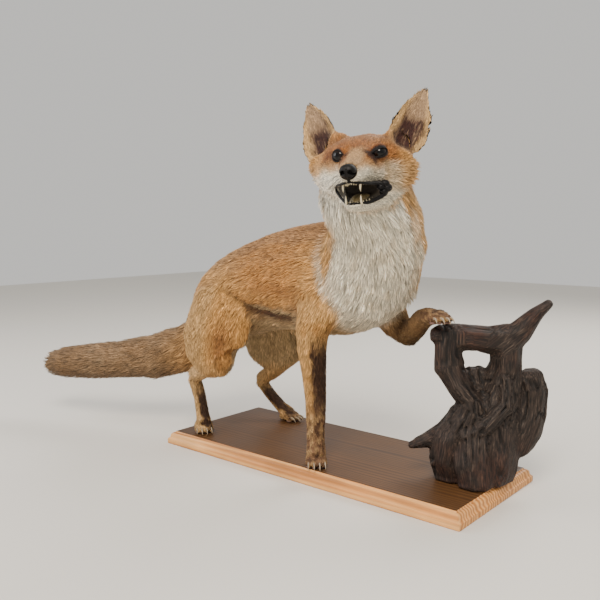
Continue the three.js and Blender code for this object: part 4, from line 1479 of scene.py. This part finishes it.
def make_pine(name, top):
    """Varnished pine: warm rings of early and late wood along the board under a worn satin varnish."""
    material, tree, shader = new_material(name, "#8A5B33", Specular_IOR_Level=0.3, Coat_Weight=0.12,
                                          Coat_Roughness=0.3)
    where = node(tree, "ShaderNodeTexCoord")
    # The grain runs along X: growth rings show as lines some 5 mm apart, wavering over 200 mm.
    stretched = node(tree, "ShaderNodeMapping", [("Scale", (0.06, 1.0, 1.0))], Vector=where.outputs["Object"])
    waver = node(tree, "ShaderNodeTexNoise", [("Scale", 14.0), ("Detail", 2.0)], Vector=stretched.outputs[0])
    moved = node(tree, "ShaderNodeVectorMath", [("operation", "MULTIPLY_ADD"), (1, (0.0, 0.05, 0.05))])
    tree.links.new(waver.outputs["Color"], moved.inputs[0])
    tree.links.new(stretched.outputs[0], moved.inputs[2])
    rings = node(tree, "ShaderNodeTexWave", [("bands_direction", "Y"), ("Scale", 34.0), ("Distortion", 2.5),
                                             ("Detail", 3.0), ("Detail Scale", 1.5)], Vector=moved.outputs[0])
    fine = node(tree, "ShaderNodeMapping", [("Scale", (0.02, 1.0, 1.0))], Vector=where.outputs["Object"])
    pores = node(tree, "ShaderNodeTexNoise", [("Scale", 1300.0), ("Detail", 3.0)], Vector=fine.outputs[0])
    if top:
        stops = [(0.0, "#432B15"), (0.5, "#51351B"), (1.0, "#5D3F22")]
    else:
        stops = [(0.0, "#B0733A"), (0.5, "#D08E4E"), (1.0, "#E6AC6A")]
    wood = ramp(tree, rings.outputs["Fac"], stops)
    shade = node(tree, "ShaderNodeMapRange", [("From Min", 0.3), ("From Max", 0.7), ("To Min", 0.82),
                                              ("To Max", 1.12)], Value=pores.outputs["Fac"])
    blotch = node(tree, "ShaderNodeTexNoise", [("Scale", 9.0), ("Detail", 4.0)],
                  Vector=where.outputs["Object"])
    wear = node(tree, "ShaderNodeMapRange", [("From Min", 0.35), ("From Max", 0.65), ("To Min", 0.86),
                                             ("To Max", 1.1)], Value=blotch.outputs["Fac"])
    both = node(tree, "ShaderNodeMath", [("operation", "MULTIPLY")], _0=shade.outputs[0], _1=wear.outputs[0])
    colour = node(tree, "ShaderNodeVectorMath", [("operation", "SCALE")], _0=wood, Scale=both.outputs[0])
    gloss = node(tree, "ShaderNodeMapRange", [("To Min", 0.42), ("To Max", 0.62)],
                 Value=blotch.outputs["Fac"])
    tree.links.new(gloss.outputs[0], shader.inputs["Roughness"])
    bump = node(tree, "ShaderNodeBump", [("Strength", 0.2), ("Distance", 0.0003)],
                Height=pores.outputs["Fac"])
    wire(tree, shader, colour.outputs["Vector"], bump)
    return material


def build_board():
    """A plank with a moulded edge: its outline is raised step by step through the profile."""
    shape = bmesh.new()
    inset, height = BOARD_PROFILE[0]
    half = [BOARD_LENGTH / 2, BOARD_WIDTH / 2]
    corners_of = [shape.verts.new((sx * (half[0] - inset * MM), sy * (half[1] - inset * MM), height * MM))
                  for sx, sy in ((-1, -1), (1, -1), (1, 1), (-1, 1))]
    top = shape.faces.new(corners_of)
    # The copy stays behind as the underside while the top is raised.
    top.copy()
    for inset, height in BOARD_PROFILE[1:]:
        made = bmesh.ops.extrude_face_region(shape, geom=[top])["geom"]
        top = next(item for item in made if isinstance(item, bmesh.types.BMFace))
        for vertex in top.verts:
            vertex.co = Vector((math.copysign(half[0] - inset * MM, vertex.co.x),
                                math.copysign(half[1] - inset * MM, vertex.co.y), height * MM))
    bmesh.ops.remove_doubles(shape, verts=shape.verts, dist=1e-7)
    bmesh.ops.recalc_face_normals(shape, faces=shape.faces)
    by_corner = {vertex for vertex in shape.verts
                 if abs(vertex.co.x) > half[0] - 14 * MM and abs(vertex.co.y) > half[1] - 14 * MM}
    upright = [edge for edge in shape.edges
               if by_corner.issuperset(edge.verts) and edge.verts[0].co.z != edge.verts[1].co.z]
    bmesh.ops.bevel(shape, geom=upright, offset=1.2 * MM, segments=2, profile=0.5, affect="EDGES",
                    material=-1)
    piece = from_bmesh("moulded_board", shape, False)
    piece.data.materials.append(make_pine("varnished_pine_edge", False))
    piece.data.materials.append(make_pine("varnished_pine_top", True))
    for face in piece.data.polygons:
        if face.normal.z > 0.9 and face.center.z > 24.5 * MM:
            face.material_index = 1
    hand_over(piece, "pine", "base_board")


build_board()


# ---------------------------------------------------------------- driftwood root
ROOT_MIDDLE = Vector((275, 15, 0))
ROOT_TURN = math.radians(40)


def root_station(along, away, up, depth, thick):
    x = ROOT_MIDDLE.x + along * math.cos(ROOT_TURN) - away * math.sin(ROOT_TURN)
    y = ROOT_MIDDLE.y + along * math.sin(ROOT_TURN) + away * math.cos(ROOT_TURN)
    return x, y, up, (depth + thick) / 2


ROOT_LIMBS = [[root_station(*station) for station in limb] for limb in (
    [(-70, 0, 265, 18, 17), (-44, 0, 262, 25, 24), (-14, 0, 260, 27, 23), (14, 0, 257, 27, 24),
     (46, 2, 258, 25, 27)],
    [(36, 0, 246, 26, 28), (66, 2, 270, 22, 22), (92, 5, 298, 16, 13), (114, 8, 315, 10, 8)],
    [(-50, 0, 262, 24, 24), (-50, 0, 236, 25, 23), (-47, 0, 212, 27, 27), (-34, -2, 184, 27, 21),
     (-15, -4, 162, 30, 21), (-10, -4, 126, 34, 34)],
    [(44, 2, 250, 27, 28), (44, 4, 214, 30, 27), (36, 8, 176, 34, 36), (26, 8, 130, 44, 50),
     (14, 6, 84, 52, 62), (6, 0, 44, 50, 62), (4, -2, 20, 44, 52)],
    [(-6, 12, 204, 14, 22), (0, 10, 176, 22, 28), (2, 6, 140, 30, 34)],
    [(86, 16, 196, 18, 24), (94, 20, 168, 24, 30), (92, 20, 134, 26, 30), (84, 18, 104, 28, 30),
     (70, 12, 70, 28, 20)],
    [(-20, 0, 132, 34, 26), (-34, 4, 96, 38, 38), (-40, 6, 62, 36, 38), (-34, 4, 30, 32, 34)],
    [(-44, 14, 100, 22, 20), (-78, 20, 84, 15, 14), (-104, 24, 74, 9, 7)],
    [(-6, -14, 96, 34, 34), (-8, -26, 58, 34, 36), (-8, -34, 26, 32, 30)],
    [(40, -22, 196, 9, 12), (38, -32, 156, 12, 13), (6, -36, 122, 12, 13), (-24, -28, 104, 13, 14)],
)]


def make_driftwood():
    """Weathered root: grey-brown wood split along its grain, redder where hands wore it."""
    material, tree, shader = new_material("weathered_root", "#5B4A3F", Roughness=0.68,
                                          Specular_IOR_Level=0.35)
    grain = node(tree, "ShaderNodeAttribute", [("attribute_name", "grain")])
    where = node(tree, "ShaderNodeTexCoord")
    stretched = node(tree, "ShaderNodeMapping", [("Scale", (0.1, 1.0, 1.0))], Vector=grain.outputs["Vector"])
    # Grain lines about 2 mm apart that run on for some 20 mm.
    lines = node(tree, "ShaderNodeTexNoise", [("Scale", 420.0), ("Detail", 4.0), ("Roughness", 0.62)],
                 Vector=stretched.outputs[0])
    blotch = node(tree, "ShaderNodeTexNoise", [("Scale", 26.0), ("Detail", 4.0)],
                  Vector=where.outputs["Object"])
    grey = ramp(tree, lines.outputs["Fac"], [(0.32, "#0A0605"), (0.46, "#211813"), (0.6, "#3C3028"),
                                             (0.76, "#6B5C50")])
    red = ramp(tree, lines.outputs["Fac"], [(0.32, "#0D0605"), (0.47, "#291710"), (0.62, "#43291D"),
                                            (0.8, "#62402F")])
    height = node(tree, "ShaderNodeSeparateXYZ", Vector=where.outputs["Object"])
    # Redder at the top bar and low down, grey between.
    worn = node(tree, "ShaderNodeMapRange", [("From Min", 0.19), ("From Max", 0.235)],
                Value=height.outputs["Z"])
    low = node(tree, "ShaderNodeMapRange", [("From Min", 0.12), ("From Max", 0.05)],
               Value=height.outputs["Z"])
    reddish = node(tree, "ShaderNodeMath", [("operation", "MAXIMUM")], _0=worn.outputs[0], _1=low.outputs[0])
    patchy = node(tree, "ShaderNodeMapRange", [("From Min", 0.38), ("From Max", 0.6)],
                  Value=blotch.outputs["Fac"])
    amount = node(tree, "ShaderNodeMath", [("operation", "MULTIPLY")], _0=reddish.outputs[0],
                  _1=patchy.outputs[0])
    wood = node(tree, "ShaderNodeMix", [("data_type", "RGBA")])
    tree.links.new(amount.outputs[0], wood.inputs["Factor"])
    tree.links.new(grey, wood.inputs[6])
    tree.links.new(red, wood.inputs[7])
    # Painted shade: cracks and pits are darkened almost to black.
    pits = node(tree, "ShaderNodeAttribute", [("attribute_name", "cracks")])
    dark = node(tree, "ShaderNodeMapRange", [("To Min", 0.92), ("To Max", 0.12)], Value=pits.outputs["Fac"])
    colour = node(tree, "ShaderNodeVectorMath", [("operation", "SCALE")], _0=wood.outputs[2],
                  Scale=dark.outputs[0])
    bump = node(tree, "ShaderNodeBump", [("Strength", 0.7), ("Distance", 0.0012)],
                Height=lines.outputs["Fac"])
    wire(tree, shader, colour.outputs["Vector"], bump)
    return material


def build_root():
    piece, _ = voxel_skin("driftwood", ["driftwood_root"], 0.0, 2.6 * MM)
    mesh = piece.data
    points = relax(vertex_array(mesh), edge_array(mesh), 3)
    set_vertices(mesh, points)
    normals = normal_array(mesh)
    # Each vertex's place beside the nearest limb, so that the grain runs along it.
    nearest = np.full(len(points), np.inf)
    grain = np.zeros_like(points)
    for number, limb in enumerate(ROOT_LIMBS):
        along, offset, direction = along_bone(points, limb)
        ratio = np.linalg.norm(offset, axis=1) / (limb[0][3] * MM)
        side = unit(np.cross(direction, (0.3, 0.9, 0.1)))
        rise = np.cross(side, direction)
        place = np.stack([along + number, np.sum(offset * side, 1), np.sum(offset * rise, 1)], 1)
        closer = ratio < nearest
        nearest[closer] = ratio[closer]
        grain[closer] = place[closer]
    long_grain = grain * np.array([0.12, 1, 1])
    ridges = 1 - np.abs(speckle(long_grain, 0.011, 21))
    cracks = smooth(0.86, 0.985, 1 - np.abs(speckle(long_grain, 0.009, 22)))
    cracks = cracks * smooth(0.0, 0.45, speckle(points, 0.05, 23) + 0.25)
    pits = smooth(0.45, 0.8, speckle(points, 0.012, 24)) * smooth(0.0, 0.5, speckle(points, 0.04, 25))
    lower = smooth(0.24, 0.19, points[:, 2])
    shape = (speckle(points, 0.03, 26) * 3.2 * lower + (ridges - 0.6) * 2.2 * (0.35 + 0.65 * lower)
             + speckle(long_grain, 0.004, 27) * 0.6)
    dip = cracks * 4.2 * (0.5 + 0.5 * lower) + pits * 4.0 * lower
    near_deck = smooth(0.026, 0.034, points[:, 2])
    points = points + normals * ((shape - dip - 0.8) * MM * near_deck)[:, None]
    set_vertices(mesh, points)
    write_array(mesh.attributes.new("grain", "FLOAT_VECTOR", "POINT").data, "vector", grain)
    # How much painted shade darkens each crack and pit.
    write_array(mesh.attributes.new("cracks", "FLOAT", "POINT").data, "value",
                np.clip(cracks + 0.8 * pits * lower, 0, 1))
    mesh.materials.clear()
    mesh.materials.append(make_driftwood())
    hand_over(piece, "driftwood", "driftwood_root")


build_root()


# ---------------------------------------------------------------- floor, light and camera
def make_floor():
    shape = bmesh.new()
    bmesh.ops.create_grid(shape, x_segments=1, y_segments=1, size=4.0)
    floor = from_bmesh("floor", shape)
    floor.data.materials.append(new_material("pale_floor", "#D8D4CC", Base_Color=rgba("#D8D4CC"),
                                             Roughness=0.8)[0])


make_floor()


def lamp(name, place, target, size, power, code):
    light = bpy.data.lights.new(name, "AREA")
    light.shape = "DISK"
    light.size = size
    light.energy = power
    light.color = tuple(linear(code))
    holder = bpy.data.objects.new(name, light)
    bpy.context.scene.collection.objects.link(holder)
    holder.location = place
    holder.rotation_euler = (Vector(target) - Vector(place)).to_track_quat("-Z", "Y").to_euler()


lamp("key", (0.9, -1.5, 2.0), (0.0, 0.0, 0.3), 1.1, 66, "#FFF6EA")
lamp("fill", (-1.8, -1.2, 1.2), (0.0, 0.0, 0.3), 1.6, 27, "#F8F7FC")
lamp("back", (0.2, 1.9, 1.8), (0.0, 0.0, 0.35), 1.4, 44, "#FFFAF4")

world = bpy.data.worlds.new("studio")
bpy.context.scene.world = world
world.use_nodes = True
world.node_tree.nodes["Background"].inputs["Color"].default_value = rgba("#E9E7E3")
world.node_tree.nodes["Background"].inputs["Strength"].default_value = 0.86

CAMERA_AT = (0.7853, -1.0377, 0.4452)
CAMERA_AZIMUTH = math.radians(40.07)
CAMERA_DOWN = math.radians(6.27)
view = bpy.data.cameras.new("view")
view.lens = 42.94
view.sensor_width = 36.0
view.dof.use_dof = False
camera = bpy.data.objects.new("view", view)
bpy.context.scene.collection.objects.link(camera)
camera.location = CAMERA_AT
camera.rotation_euler = (math.pi / 2 - CAMERA_DOWN, 0, CAMERA_AZIMUTH)
bpy.context.scene.camera = camera
